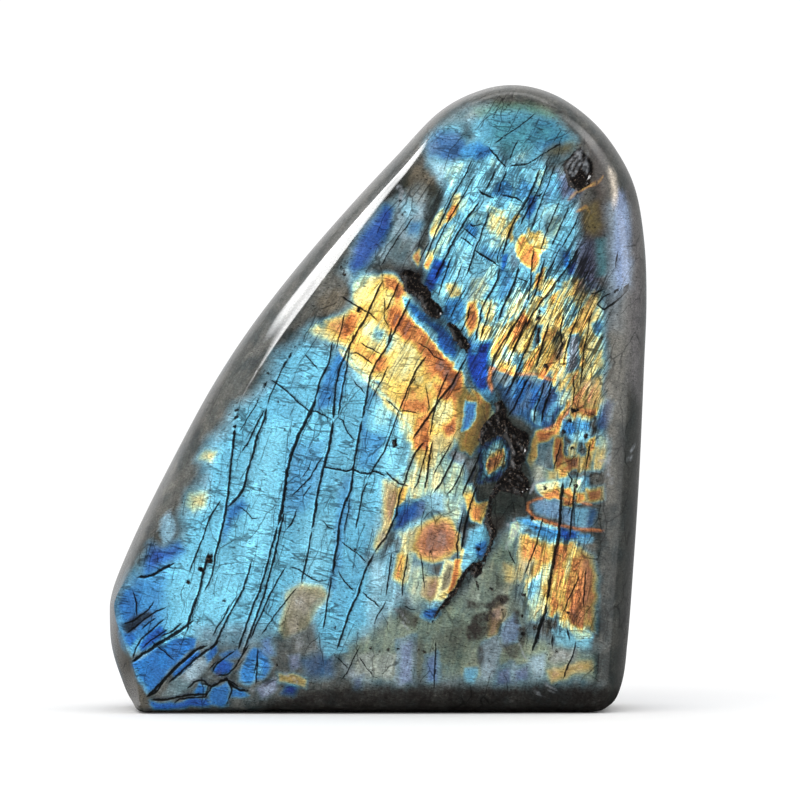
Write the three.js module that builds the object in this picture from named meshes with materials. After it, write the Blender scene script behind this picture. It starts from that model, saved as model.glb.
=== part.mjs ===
// A free-form labradorite: one piece of stone, polished all over, that stands on a flat sawn base.
// Its broad front is gently domed and rolls over into the sides, and its back is fuller. A flat facet is cut into
// the left foot. Millimetres, +Z up, the front towards -Y. The origin is on the base, under the middle of the
// stone's box.
import * as THREE from "three";

const { clamp, lerp } = THREE.MathUtils;

// Driving dimensions
const BASE_DEPTH = 42; // front to back at the base, before the faces swell
const CROWN_DEPTH = 24; // the same at the crown
const MIDDLE = { x: 70.5, z: 62 }; // where both faces swell most, measured like the outline
const DOME_WIDTH = 58; // distance across from there to where most of the swelling has gone
const DOME_HEIGHT = 90; // the same upwards
const ROLL_SHARE = 0.94; // share of the half depth that is rounded off where a face meets the sides
const FRONT = { dome: 3.5, baseShare: 0.36, baseRoll: [1.5, 7.5] }; // baseRoll: at the left foot and the right foot
const BACK = { dome: 6, baseShare: 0.26, baseRoll: [5, 5], roll: 15, fullness: 2.1 };

// The outline seen from the front, anticlockwise from the left foot. A row holds the distance across, the height,
// how far the front rolls in from the rim, the roll's fullness (1 is a straight bevel, 2 is an ellipse and more is
// squarer) and, along the base, how far the rim lies inside the lines of the sides.
const OUTLINE = [
  [5.5, 2.4, 4.3, 1.1, 1.1],
  [11, 0, 4, 1.4, 6],
  [36, 0, 5, 2, 25],
  [62, 0, 6, 2, 25],
  [88, 0, 7, 2, 25],
  [113, 0, 9, 2.1, 10.3],
  [119.6, 1.6, 10, 2.2, 3.8],
  [122.6, 6, 10.5, 2.2, 1.2],
  [124.4, 14.8, 10.5, 2.2, 0], // the right foot
  [126, 35, 11, 2.3, 0],
  [127.4, 57, 11, 2.3, 0],
  [128.5, 82, 11.5, 2.3, 0],
  [129.1, 98, 12, 2.3, 0],
  [128.6, 112, 12.5, 2.3, 0],
  [126.4, 125, 12, 2.2, 0],
  [121.7, 134.6, 10.5, 2.1, 0],
  [115.3, 142.1, 8.5, 2.1, 0],
  [107, 147.7, 7, 2.1, 0],
  [98, 150, 6.5, 2.1, 0], // the crown
  [89, 148.7, 6.5, 2.1, 0],
  [79.3, 143.6, 7.5, 2.1, 0],
  [69, 133, 9.5, 2.2, 0],
  [57.5, 120.6, 11, 2.3, 0],
  [45.3, 106.5, 12, 2.3, 0],
  [33.7, 91.5, 12, 2.3, 0],
  [24.2, 76.8, 11.5, 2.2, 0],
  [15, 59.7, 10.5, 2.1, 0],
  [7.6, 45, 8, 2, 0],
  [2.3, 33, 5, 1.8, 0],
  [0.3, 26.8, 2.3, 1.3, 0], // the facet's top
  [0, 22, 2.4, 1.1, 0],
  [0.5, 15, 4.3, 1.1, 0],
  [2.6, 8, 5, 1.1, 0],
];

// How finely the stone is divided
const STEPS = 4; // from each row of the outline to the next
const FACE_RINGS = 6;
const ROLL_RINGS = 7;

// A smooth closed curve through rows of numbers.
function curveThrough(rows) {
  const row = (i) => rows[(i + rows.length) % rows.length];
  const points = [];
  for (let i = 0; i < rows.length; i++) {
    const [a, b, c, d] = [row(i - 1), row(i), row(i + 1), row(i + 2)];
    for (let step = 0; step < STEPS; step++) {
      const t = step / STEPS;
      const along = (k) => {
        const bend = 2 * a[k] - 5 * b[k] + 4 * c[k] - d[k];
        const twist = 3 * (b[k] - c[k]) + d[k] - a[k];
        return b[k] + (t / 2) * (c[k] - a[k] + t * (bend + t * twist));
      };
      points.push(b.map((_, k) => Math.max(along(k), 0)));
    }
  }
  return points;
}

const rim = curveThrough(OUTLINE);
const height = Math.max(...rim.map(([, z]) => z));
const width = Math.max(...rim.map(([x]) => x));

// Height of a rolled edge's section, from 0 at the rim to 1 where the roll ends.
function rollHeight(share, fullness) {
  return (1 - (1 - clamp(share, 0, 1)) ** fullness) ** (1 / fullness);
}

// Distance from a place on the rim to the middle.
function reachOf([x, z]) {
  return Math.hypot(MIDDLE.x - x, MIDDLE.z - z);
}

// The point of a face that lies inward of a place on the rim.
function surfacePoint(face, place, inset) {
  const [rimX, rimZ, frontRoll, frontFullness, gap] = place;
  const x = lerp(rimX, MIDDLE.x, inset / reachOf(place));
  const z = lerp(rimZ, MIDDLE.z, inset / reachOf(place));
  const swelling = Math.exp(-(((x - MIDDLE.x) / DOME_WIDTH) ** 2) - ((z - MIDDLE.z) / DOME_HEIGHT) ** 2);
  const depth = lerp(BASE_DEPTH, CROWN_DEPTH, z / height) / 2 + face.dome * swelling;
  const sideHeight = rollHeight((gap + inset) / (face.roll ?? frontRoll), face.fullness ?? frontFullness);
  const baseHeight = rollHeight(z / lerp(...face.baseRoll, x / width), 2);
  const rounded = (1 - ROLL_SHARE * (1 - sideHeight)) * (1 - face.baseShare * (1 - baseHeight));
  return new THREE.Vector3(x, depth * rounded * (face === FRONT ? -1 : 1), z);
}

// A face's rings of points from its middle out to the rim, closest together over the roll.
function faceRings(face) {
  const rings = [];
  const addRing = (insetAt) => rings.push(rim.map((place) => surfacePoint(face, place, insetAt(place))));
  const rollAt = (place) => face.roll ?? place[2];
  for (let i = 1; i < FACE_RINGS; i++) {
    const left = 1 - i / FACE_RINGS;
    addRing((place) => lerp(rollAt(place), reachOf(place), left));
  }
  for (let i = 0; i <= ROLL_RINGS; i++) {
    const left = 1 - Math.sin(((i / ROLL_RINGS) * Math.PI) / 2);
    addRing((place) => rollAt(place) * left);
  }
  return rings;
}

// The closed surface over both faces' rings, with a fan of triangles in each middle.
function stoneGeometry() {
  const rings = [...faceRings(FRONT), ...faceRings(BACK).reverse()];
  const middle = (face) => surfacePoint(face, rim[0], reachOf(rim[0]));
  const points = [middle(FRONT), ...rings.flat(), middle(BACK)];
  const corner = (ring, i) => 1 + ring * rim.length + (i % rim.length);
  const faces = [];
  for (let i = 0; i < rim.length; i++) {
    faces.push(0, corner(0, i), corner(0, i + 1));
    faces.push(points.length - 1, corner(rings.length - 1, i + 1), corner(rings.length - 1, i));
    for (let ring = 0; ring < rings.length - 1; ring++) {
      const [a, b] = [corner(ring, i), corner(ring, i + 1)];
      const [c, d] = [corner(ring + 1, i), corner(ring + 1, i + 1)];
      faces.push(a, c, b, b, c, d);
    }
  }
  const geometry = new THREE.BufferGeometry().setFromPoints(points).setIndex(faces);
  geometry.computeBoundingBox();
  const centre = geometry.boundingBox.getCenter(new THREE.Vector3());
  geometry.translate(-centre.x, -centre.y, 0);
  geometry.computeVertexNormals();
  return geometry;
}

const polishedStone = new THREE.MeshStandardMaterial({ color: 0x4f7f96, roughness: 0.12, metalness: 0 });

const labradorite = new THREE.Mesh(stoneGeometry(), polishedStone);
labradorite.name = "labradorite";

const part = new THREE.Group();
part.add(labradorite);

export default part;
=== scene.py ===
# The looks of a polished labradorite freeform that stands on a pale floor in soft studio light.
# Metres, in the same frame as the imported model: +Z up, and the flashing front towards -Y.
import math

import bpy
import numpy as np
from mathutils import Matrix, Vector

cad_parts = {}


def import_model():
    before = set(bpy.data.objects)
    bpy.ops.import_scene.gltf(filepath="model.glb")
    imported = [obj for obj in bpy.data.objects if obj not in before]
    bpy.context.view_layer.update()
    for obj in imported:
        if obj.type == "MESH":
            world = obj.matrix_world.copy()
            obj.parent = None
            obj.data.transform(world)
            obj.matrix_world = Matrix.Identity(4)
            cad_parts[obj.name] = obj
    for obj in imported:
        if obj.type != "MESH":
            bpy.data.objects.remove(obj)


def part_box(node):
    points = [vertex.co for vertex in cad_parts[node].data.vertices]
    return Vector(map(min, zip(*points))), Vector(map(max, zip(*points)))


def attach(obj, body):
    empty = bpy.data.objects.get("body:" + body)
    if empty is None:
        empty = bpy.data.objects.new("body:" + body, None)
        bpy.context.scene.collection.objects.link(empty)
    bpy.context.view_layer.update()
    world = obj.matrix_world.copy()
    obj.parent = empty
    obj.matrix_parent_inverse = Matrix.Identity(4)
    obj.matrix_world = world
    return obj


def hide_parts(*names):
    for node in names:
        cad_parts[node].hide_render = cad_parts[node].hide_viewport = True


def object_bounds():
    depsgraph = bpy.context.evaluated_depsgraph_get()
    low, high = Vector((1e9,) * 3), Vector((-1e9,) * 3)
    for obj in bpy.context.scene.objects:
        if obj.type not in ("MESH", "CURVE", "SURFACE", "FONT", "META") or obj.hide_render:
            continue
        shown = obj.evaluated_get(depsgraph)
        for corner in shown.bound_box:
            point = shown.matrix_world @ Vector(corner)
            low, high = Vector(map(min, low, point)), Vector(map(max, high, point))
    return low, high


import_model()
cad_low, cad_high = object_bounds()
SEED = 7
random = np.random.default_rng(SEED)

# Driving dimensions, in millimetres as the outline is drawn
BASE_DEPTH = 42
CROWN_DEPTH = 24
MIDDLE = np.array([70.5, 62.0])
DOME_WIDTH = 58
DOME_HEIGHT = 90
ROLL_SHARE = 0.94
FRONT = {"side": -1, "dome": 3.5, "base_share": 0.36, "base_roll": (1.5, 7.5)}
BACK = {"side": 1, "dome": 6, "base_share": 0.26, "base_roll": (5, 5), "roll": 15, "fullness": 2.1}

# The outline seen from the front, anticlockwise from the left foot: the distance across, the height, how far
# the front rolls in from the rim, the roll's fullness and, along the base, how far the rim lies inside the
# lines of the sides.
OUTLINE = np.array([
    (5.5, 2.4, 4.3, 1.1, 1.1),
    (11, 0, 4, 1.4, 6),
    (36, 0, 5, 2, 25),
    (62, 0, 6, 2, 25),
    (88, 0, 7, 2, 25),
    (113, 0, 9, 2.1, 10.3),
    (119.6, 1.6, 10, 2.2, 3.8),
    (122.6, 6, 10.5, 2.2, 1.2),
    (124.4, 14.8, 10.5, 2.2, 0),
    (126, 35, 11, 2.3, 0),
    (127.4, 57, 11, 2.3, 0),
    (128.5, 82, 11.5, 2.3, 0),
    (129.1, 98, 12, 2.3, 0),
    (128.6, 112, 12.5, 2.3, 0),
    (126.4, 125, 12, 2.2, 0),
    (121.7, 134.6, 10.5, 2.1, 0),
    (115.3, 142.1, 8.5, 2.1, 0),
    (107, 147.7, 7, 2.1, 0),
    (98, 150, 6.5, 2.1, 0),
    (89, 148.7, 6.5, 2.1, 0),
    (79.3, 143.6, 7.5, 2.1, 0),
    (69, 133, 9.5, 2.2, 0),
    (57.5, 120.6, 11, 2.3, 0),
    (45.3, 106.5, 12, 2.3, 0),
    (33.7, 91.5, 12, 2.3, 0),
    (24.2, 76.8, 11.5, 2.2, 0),
    (15, 59.7, 10.5, 2.1, 0),
    (7.6, 45, 8, 2, 0),
    (2.3, 33, 5, 1.8, 0),
    (0.3, 26.8, 2.3, 1.3, 0),
    (0, 22, 2.4, 1.1, 0),
    (0.5, 15, 4.3, 1.1, 0),
    (2.6, 8, 5, 1.1, 0),
])

# How finely the stone is divided
FRONT_SPACING = 0.46  # millimetres between the front's vertices
FRONT_ROLL_RINGS = 18
BACK_ROLL_RINGS = 14
BACK_SPACING = 3.0
RIM_SEGMENTS = 480
FEWEST_SEGMENTS = 6  # in the ring nearest a face's middle
RIM_SAMPLES = 4000  # for measuring lengths along the outline
SHARP_ANGLE = math.radians(40)  # where faces meet at more than this, the edge stays sharp
CAVITY = 0.0007  # metres that the rough dark inclusions lie lower
CAVITY_SLOPE = 4  # pixels in from an inclusion's edge to its full depth

# The camera, set so that the stone stands in the frame as it does in the photograph
PHOTO_SIZE = 800
PHOTO_STONE_PIXELS = 623  # the stone's height in the photograph
PHOTO_STONE_CENTRE = np.array([378.0, 397.0])
STONE_HEIGHT = cad_high.z - cad_low.z
CAMERA_DISTANCE = 1.6
CAMERA_PITCH = math.radians(0.8)
AIM = (0, 0, STONE_HEIGHT / 2)
TO_CAMERA = (0, -math.cos(CAMERA_PITCH), math.sin(CAMERA_PITCH))

# Orders of the thin films inside the stone, from 0 to 1, by the hue that each flashes
INDIGO, ROYAL, AZURE, SKY, CYAN, MINT = 0.0, 0.12, 0.25, 0.38, 0.5, 0.58
CREAM, GOLD, ORANGE, RUST, MAUVE = 0.65, 0.75, 0.85, 0.93, 1.0

# How the markings vary, with lengths in pixels of the photograph
NOISE_CELLS = 64  # bumps each way before the noise repeats
TILT = 0.2  # how far the lamellae lean to the right for each pixel up
UPPER_TILT = 0.32  # how much further they lean above the bend
BEND_HEIGHT = 400
CROSS_FALL = 0.15  # how far the lines across the lamellae fall for each pixel to the right
STRIPS = 400  # lamellae side by side
STRIP_PIECES = 97  # pieces along a lamella before they repeat
BARE_STREAKS = 0.1  # where no zone lies, like the next two
BARE_STRENGTH = 0.06
BARE_BODY = 0.42
PLAIN_TINT = 0.2
WEAKEST_ORDER = 0.2  # a zone that flashes less than this keeps the film order below it
DARKEST, BRIGHTEST = 0.76, 1.3
RIM_BLEND = 36  # how far before the stone's middle plane the drawn markings are fully there
DEPTH_DRIFT = [0.7, 0.35]  # how far the random markings drift across and down for each pixel of depth
OUTSIDE_INCLUSIONS = -6.0
OUTSIDE_RIMS = -9.0
REACH = 4.0  # pixels beside a crack over which the material knows its distance
GROUPS = 7  # of cracks that keep apart
FAINT_WIDTH = 0.8  # cracks up to this wide may be left out
FINE_CRACKS = 900

# Zones of the flash, one painted over the next, placed by pixels of the photograph: the film order, the
# flash's strength, the tone of the body under it, the width of the soft edge, and the corners
ZONES = [
    # The wide blue field and what varies in it
    (SKY, 1, 0.8, 12, [
        (302, 338), (318, 345), (335, 352), (350, 372), (368, 390), (382, 402), (396, 425), (402, 450),
        (396, 480), (386, 505), (378, 530), (374, 545), (368, 560), (382, 585), (388, 600), (376, 625),
        (350, 648), (250, 652), (160, 652), (128, 645), (116, 622), (122, 600), (134, 578), (146, 560),
        (165, 556), (182, 540), (184, 515), (196, 500), (204, 480), (206, 455), (212, 440), (226, 430),
        (236, 412), (250, 402), (262, 388), (272, 372), (276, 358), (290, 348)]),
    (AZURE, 0.95, 0.5, 18, [(118, 605), (134, 578), (165, 575), (185, 595), (178, 622), (150, 645),
        (120, 645)]),
    (CYAN - 0.06, 1, 0.8, 21, [(165, 588), (195, 568), (240, 560), (250, 590), (235, 628), (200, 642),
        (170, 632)]),
    (CYAN - 0.05, 1, 0.9, 12, [(262, 425), (288, 425), (280, 500), (262, 560), (240, 560), (246, 500)]),
    (AZURE + 0.07, 0.95, 0.7, 9, [(292, 440), (326, 440), (318, 490), (300, 520), (284, 510), (288, 465)]),
    (AZURE, 0.9, 0.5, 4.5, [(328, 365), (338, 352), (345, 358), (338, 380), (333, 405), (316, 408),
        (318, 390)]),
    (AZURE + 0.04, 0.95, 0.6, 4.5, [(340, 365), (347, 365), (340, 405), (334, 405)]),
    (AZURE + 0.05, 0.95, 0.6, 4.5, [
        (370, 385), (376, 392), (370, 410), (366, 425), (388, 440), (378, 458), (368, 472), (356, 468),
        (362, 425)]),
    (CYAN + 0.03, 1, 1, 7.5, [(376, 400), (387, 400), (396, 414), (390, 430), (372, 428), (370, 414)]),
    (CYAN, 1, 0.9, 7.5, [(390, 425), (402, 428), (408, 445), (402, 472), (388, 480), (380, 462), (388, 445)]),
    (AZURE + 0.05, 0.9, 0.6, 6, [(342, 478), (352, 476), (346, 520), (340, 560), (332, 600), (326, 600),
        (334, 540)]),
    (AZURE - 0.04, 0.85, 0.4, 7.5, [(226, 508), (242, 498), (246, 506), (232, 522), (224, 540)]),
    (CYAN - 0.07, 0.95, 0.9, 12, [(300, 520), (330, 515), (330, 560), (324, 620), (300, 640), (282, 640),
        (300, 590)]),
    (CYAN - 0.04, 0.55, 0.85, 8, [
        (372, 560), (390, 552), (402, 590), (398, 612), (384, 632), (372, 640), (366, 600)]),
    # Along the field's upper left edge
    (CREAM, 0.5, 0.7, 6, [(204, 446), (218, 450), (214, 462), (196, 460)]),
    (CREAM, 0.55, 0.7, 9, [(188, 492), (206, 490), (208, 506), (192, 514), (184, 506)]),
    (SKY, 0.5, 0.8, 2, [(163, 545), (160, 530), (163, 518), (169, 511), (173, 516), (174, 530), (171, 541)]),
    (ROYAL + 0.05, 0.85, 0.5, 7.5, [(146, 560), (150, 545), (163, 549), (178, 543), (184, 550), (160, 566),
        (146, 574)]),
    # The warm band that crosses the stone
    (CREAM, 0.75, 0.75, 8, [(306, 330), (316, 323), (330, 324), (340, 334), (336, 343), (322, 341)]),
    (GOLD - 0.02, 1, 0.8, 8, [
        (330, 322), (344, 312), (356, 302), (352, 286), (362, 277), (392, 277), (404, 286), (412, 300),
        (422, 316), (434, 332), (440, 348), (452, 356), (463, 368), (464, 386), (460, 402), (462, 420),
        (456, 440), (440, 458), (430, 476), (414, 480), (410, 456), (402, 430), (394, 412), (384, 396),
        (376, 382), (362, 374), (352, 360), (342, 346), (332, 336)]),
    (ORANGE - 0.02, 0.7, 0.75, 7, [(326, 322), (346, 318), (352, 328), (340, 333), (328, 328)]),
    (ORANGE + 0.02, 0.95, 0.6, 3, [(342, 322), (350, 310), (357, 312), (354, 332), (344, 338)]),
    (MINT, 1, 1, 4, [(363, 323), (374, 318), (386, 330), (384, 345), (370, 342), (362, 336)]),
    (CYAN, 0.9, 1, 3, [(374, 329), (384, 330), (383, 337), (376, 337)]),
    (CREAM + 0.02, 1, 0.8, 4, [(359, 336), (370, 340), (384, 346), (382, 353), (368, 348), (358, 342)]),
    (ORANGE - 0.05, 1, 0.7, 3, [(353, 342), (366, 348), (382, 356), (376, 364), (362, 358), (352, 350)]),
    (CREAM, 1, 0.9, 4, [(350, 354), (362, 360), (374, 366), (370, 374), (358, 370), (350, 362)]),
    (CYAN + 0.03, 1, 1, 5, [(350, 366), (360, 372), (372, 378), (370, 384), (354, 378)]),
    (ORANGE, 1, 0.6, 3, [(377, 358), (387, 356), (388, 366), (381, 372), (375, 370)]),
    (CREAM + 0.05, 1, 0.8, 3, [(374, 372), (384, 372), (382, 380), (374, 378)]),
    (CYAN - 0.05, 0.8, 0.5, 3, [(370, 380), (378, 382), (374, 392), (367, 390)]),
    (MINT + 0.02, 1, 1, 6, [(352, 280), (374, 276), (378, 284), (360, 292), (352, 292)]),
    (CREAM - 0.01, 1, 0.9, 5, [(352, 290), (372, 286), (376, 300), (362, 304), (350, 300)]),
    (CREAM + 0.03, 1, 0.7, 5, [(374, 290), (392, 286), (394, 300), (384, 320), (374, 312)]),
    (ORANGE + 0.02, 0.85, 0.5, 4, [(384, 276), (398, 278), (397, 290), (386, 290)]),
    (ORANGE - 0.03, 1, 0.7, 4, [(386, 306), (396, 302), (402, 312), (396, 326), (386, 320)]),
    (RUST - 0.03, 0.75, 0.4, 4, [(396, 282), (405, 284), (404, 298), (396, 298)]),
    (CREAM + 0.03, 0.7, 0.6, 5, [(405, 300), (418, 310), (416, 322), (404, 318)]),
    (RUST - 0.02, 0.95, 0.5, 4, [(398, 323), (412, 322), (424, 330), (430, 344), (420, 348), (406, 336)]),
    (ORANGE + 0.03, 0.9, 0.7, 5, [(418, 332), (428, 336), (434, 352), (428, 362), (416, 352)]),
    (MINT + 0.03, 1, 1, 4, [(388, 332), (404, 336), (408, 346), (398, 354), (389, 350)]),
    (CYAN, 0.8, 0.9, 3, [(386, 333), (393, 335), (392, 350), (387, 354)]),
    (CREAM + 0.04, 1, 0.9, 6, [(392, 352), (410, 346), (420, 356), (416, 374), (402, 380), (390, 374)]),
    (ORANGE - 0.08, 1, 0.9, 6, [(386, 378), (400, 376), (406, 388), (400, 404), (390, 396)]),
    (CREAM + 0.02, 1, 0.9, 3, [(380, 380), (386, 382), (386, 396), (381, 394)]),
    (GOLD - 0.01, 1, 0.6, 5, [(404, 376), (416, 368), (426, 378), (424, 388), (408, 390)]),
    (ORANGE - 0.02, 1, 0.7, 5, [(404, 388), (426, 384), (434, 396), (430, 412), (404, 410)]),
    (ORANGE + 0.01, 0.95, 0.6, 4, [(424, 356), (436, 358), (436, 378), (426, 384)]),
    (GOLD, 0.75, 0.3, 3, [(430, 350), (442, 352), (454, 362), (450, 366), (436, 360)]),
    (ORANGE + 0.04, 0.9, 0.5, 5, [
        (392, 310), (402, 315), (418, 328), (436, 346), (452, 362), (464, 378), (462, 392), (450, 384),
        (434, 370), (418, 352), (402, 338), (390, 324)]),
    (RUST, 0.8, 0.45, 5, [(434, 356), (448, 362), (456, 376), (448, 382), (436, 374)]),
    (ORANGE + 0.03, 0.9, 0.5, 4, [(434, 382), (450, 386), (456, 398), (444, 402), (434, 398)]),
    (RUST + 0.02, 0.6, 0.25, 4, [(448, 368), (460, 372), (464, 392), (454, 400), (448, 386)]),
    (CYAN + 0.02, 0.7, 0.7, 2, [(454, 368), (460, 352), (464, 354), (459, 372)]),
    (RUST - 0.03, 0.95, 0.6, 4, [(402, 402), (424, 402), (426, 412), (404, 410)]),
    (CREAM + 0.04, 1, 0.9, 3, [(400, 412), (418, 416), (415, 424), (400, 420)]),
    (MINT + 0.03, 1, 1, 4, [(398, 420), (414, 426), (410, 436), (399, 430)]),
    (CREAM + 0.03, 1, 0.9, 3, [(384, 394), (392, 400), (400, 412), (396, 416), (386, 404)]),
    (ORANGE + 0.02, 1, 0.6, 3, [(418, 416), (430, 414), (430, 440), (420, 452), (412, 450), (414, 432)]),
    (ORANGE + 0.05, 0.95, 0.4, 2, [(423, 436), (430, 434), (429, 456), (422, 460)]),
    (MINT + 0.06, 0.95, 0.8, 4, [(434, 402), (450, 398), (454, 408), (446, 420), (436, 430), (432, 420)]),
    (ORANGE, 0.95, 0.5, 2.5, [(452, 398), (460, 396), (460, 416), (450, 434), (446, 430), (454, 414)]),
    (RUST, 0.8, 0.4, 4, [(444, 424), (454, 422), (456, 436), (446, 438)]),
    (CREAM + 0.04, 0.6, 0.7, 5, [(434, 434), (456, 434), (452, 450), (440, 456), (432, 450)]),
    (GOLD - 0.02, 0.65, 0.5, 4, [(414, 452), (430, 448), (430, 478), (418, 482), (412, 468)]),
    (CYAN + 0.05, 0.6, 0.8, 4, [(406, 456), (414, 452), (418, 470), (412, 486), (404, 484)]),
    (MINT + 0.06, 0.75, 0.85, 6, [(434, 452), (450, 448), (448, 466), (436, 484), (428, 484)]),
    (MINT + 0.02, 0.8, 0.9, 6, [(440, 474), (454, 462), (466, 474), (462, 490), (446, 500), (438, 494)]),
    (MAUVE, 0.15, 0.85, 4, [(452, 452), (464, 448), (464, 470), (454, 470)]),
    (MAUVE, 0.15, 0.65, 4, [(466, 440), (476, 440), (476, 468), (466, 470)]),
    (CYAN, 0.95, 0.8, 4, [(400, 440), (411, 444), (407, 468), (400, 486), (394, 474)]),
    (MINT + 0.04, 0.75, 0.85, 6, [
        (406, 472), (424, 470), (440, 458), (460, 464), (468, 480), (462, 504), (440, 508), (412, 502),
        (402, 488)]),
    # Where the band ends on the right, with a blue strip
    (GOLD, 0.22, 0.12, 4, [
        (454, 392), (466, 388), (484, 400), (488, 420), (482, 440), (470, 456), (458, 450), (458, 420)]),
    (AZURE - 0.02, 0.75, 0.5, 2.5, [(466, 400), (477, 402), (474, 416), (469, 430), (462, 432), (464, 412)]),
    (ORANGE, 0.5, 0.2, 2.5, [
        (470, 386), (482, 393), (491, 404), (488, 424), (482, 440), (478, 440), (484, 420), (484, 406),
        (476, 396)]),
    (CREAM - 0.04, 0.7, 0.6, 2, [(490, 408), (494, 412), (488, 426), (484, 436), (483, 428)]),
    # Above the band, on the left
    (CYAN - 0.05, 0.3, 0.85, 9, [
        (396, 195), (420, 185), (432, 200), (424, 235), (412, 250), (396, 256), (380, 262), (350, 280),
        (342, 272), (362, 238), (378, 215)]),
    (ROYAL + 0.03, 0.7, 0.4, 7, [
        (384, 206), (394, 208), (392, 226), (384, 244), (372, 262), (356, 276), (349, 268), (354, 248),
        (364, 228)]),
    (CYAN - 0.02, 0.6, 0.9, 4, [(404, 196), (414, 198), (416, 212), (408, 220), (402, 210)]),
    (AZURE + 0.04, 0.7, 0.6, 5, [(408, 222), (424, 222), (420, 236), (408, 237)]),
    (RUST, 0.15, 0.5, 6, [(392, 240), (412, 240), (410, 266), (394, 264)]),
    (ORANGE, 0.5, 0.45, 3, [(414, 256), (421, 248), (423, 258), (417, 266)]),
    # The cap
    (SKY + 0.04, 0.95, 0.7, 8, [
        (446, 124), (480, 110), (520, 110), (556, 122), (574, 140), (570, 180), (574, 200), (580, 240),
        (576, 272), (560, 300), (540, 330), (500, 370), (470, 345), (445, 325), (426, 300), (428, 262),
        (436, 235), (446, 200), (440, 178), (428, 165), (428, 140)]),
    (CYAN, 0.25, 0.75, 8, [(440, 126), (452, 112), (476, 104), (490, 104), (486, 118), (462, 124)]),
    (AZURE + 0.08, 0.8, 0.5, 8, [
        (478, 118), (520, 113), (552, 122), (560, 138), (540, 148), (515, 160), (500, 140), (482, 140)]),
    (AZURE, 0.55, 0.3, 8, [(540, 120), (558, 126), (570, 138), (556, 146), (540, 148), (534, 134)]),
    (AZURE, 0.6, 0.65, 8, [(424, 146), (438, 130), (462, 130), (470, 148), (458, 158), (428, 160)]),
    (AZURE - 0.02, 0.7, 0.6, 6, [(440, 142), (464, 142), (462, 158), (440, 158)]),
    (SKY, 0.25, 0.35, 4, [(462, 122), (472, 122), (476, 138), (470, 144), (464, 134)]),
    (AZURE + 0.03, 1, 0.6, 3, [(462, 148), (480, 140), (486, 146), (474, 160), (460, 162)]),
    (AZURE - 0.02, 0.9, 0.5, 3, [(476, 148), (488, 146), (494, 152), (480, 162), (473, 160)]),
    (CYAN, 0.5, 1, 6, [(428, 162), (458, 161), (454, 174), (444, 184), (434, 172)]),
    (CYAN + 0.05, 0.9, 1, 4, [(448, 164), (470, 162), (462, 182), (452, 190), (446, 178)]),
    (CYAN, 1, 0.9, 4, [(452, 176), (470, 170), (482, 176), (474, 196), (456, 194)]),
    (CYAN - 0.02, 1, 1, 3, [(478, 168), (492, 160), (506, 168), (494, 188), (484, 192), (474, 190)]),
    (CYAN + 0.04, 1, 1, 2.5, [(490, 156), (497, 158), (507, 168), (500, 174), (490, 168)]),
    (SKY - 0.04, 0.3, 0.4, 3, [(494, 146), (500, 141), (509, 142), (514, 150), (509, 163), (502, 158)]),
    (SKY + 0.02, 0.8, 0.6, 4, [(512, 140), (520, 140), (534, 146), (530, 158), (514, 164), (510, 156)]),
    (MINT - 0.04, 0.55, 0.6, 5, [(516, 152), (530, 150), (528, 162), (516, 162)]),
    (AZURE, 0.12, 0.42, 6, [(540, 156), (552, 144), (574, 142), (578, 160), (566, 178), (548, 172)]),
    (ROYAL + 0.1, 0.35, 0.7, 5, [(556, 172), (568, 174), (574, 196), (562, 200)]),
    # The upper part, between its steep cracks
    (SKY, 1, 0.8, 3, [(506, 168), (518, 167), (520, 174), (510, 182), (504, 178)]),
    (CYAN, 1, 0.9, 3, [(522, 168), (536, 168), (538, 176), (530, 186), (524, 178)]),
    (AZURE + 0.05, 1, 0.6, 2.5, [(514, 190), (524, 176), (534, 190), (528, 202), (516, 198)]),
    (AZURE + 0.02, 1, 0.5, 2, [(489, 192), (496, 180), (504, 180), (512, 186), (508, 198), (496, 197)]),
    (AZURE + 0.04, 1, 0.5, 2, [(503, 184), (513, 186), (509, 196), (502, 194)]),
    (MINT - 0.03, 0.95, 0.9, 2, [(538, 168), (546, 172), (541, 186), (534, 190)]),
    (AZURE + 0.08, 0.95, 0.8, 4, [(544, 178), (562, 180), (560, 204), (546, 206), (538, 196)]),
    (CYAN, 0.95, 0.9, 4, [(544, 204), (560, 204), (556, 214), (540, 228), (534, 226)]),
    (ROYAL + 0.1, 0.95, 0.5, 2, [(530, 200), (538, 196), (536, 212), (528, 222), (526, 212)]),
    (CYAN, 1, 0.9, 2, [(484, 198), (496, 200), (493, 207), (483, 204)]),
    (SKY, 1, 0.9, 2, [(498, 196), (507, 198), (504, 208), (496, 206)]),
    (CREAM - 0.05, 1, 1, 2, [(484, 205), (494, 207), (507, 208), (504, 213), (490, 211)]),
    (CYAN + 0.03, 0.95, 0.8, 3, [(508, 200), (522, 204), (519, 218), (506, 214)]),
    (CYAN + 0.02, 1, 0.9, 3, [(470, 206), (480, 202), (487, 212), (482, 224), (468, 222)]),
    (AZURE, 1, 0.6, 2, [(464, 224), (482, 226), (479, 238), (468, 234)]),
    (SKY, 1, 0.8, 3, [(460, 230), (476, 238), (474, 248), (458, 240)]),
    (AZURE + 0.08, 1, 0.8, 5, [(479, 238), (490, 238), (500, 250), (500, 264), (484, 258), (477, 250)]),
    (CYAN, 1, 0.9, 4, [(480, 222), (490, 220), (486, 238), (478, 244)]),
    (CREAM + 0.03, 1, 0.9, 5, [(489, 212), (502, 214), (517, 220), (510, 238), (496, 236), (487, 226)]),
    (MINT + 0.02, 1, 1, 5, [(488, 236), (508, 238), (504, 252), (490, 248)]),
    (GOLD + 0.05, 0.8, 0.3, 2, [(514, 216), (520, 218), (511, 240), (505, 240)]),
    (ORANGE, 1, 0.5, 2, [(452, 203), (461, 206), (456, 218), (447, 226), (444, 222)]),
    (CREAM, 0.9, 0.7, 3, [(450, 192), (460, 192), (464, 206), (456, 206), (450, 204)]),
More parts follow.
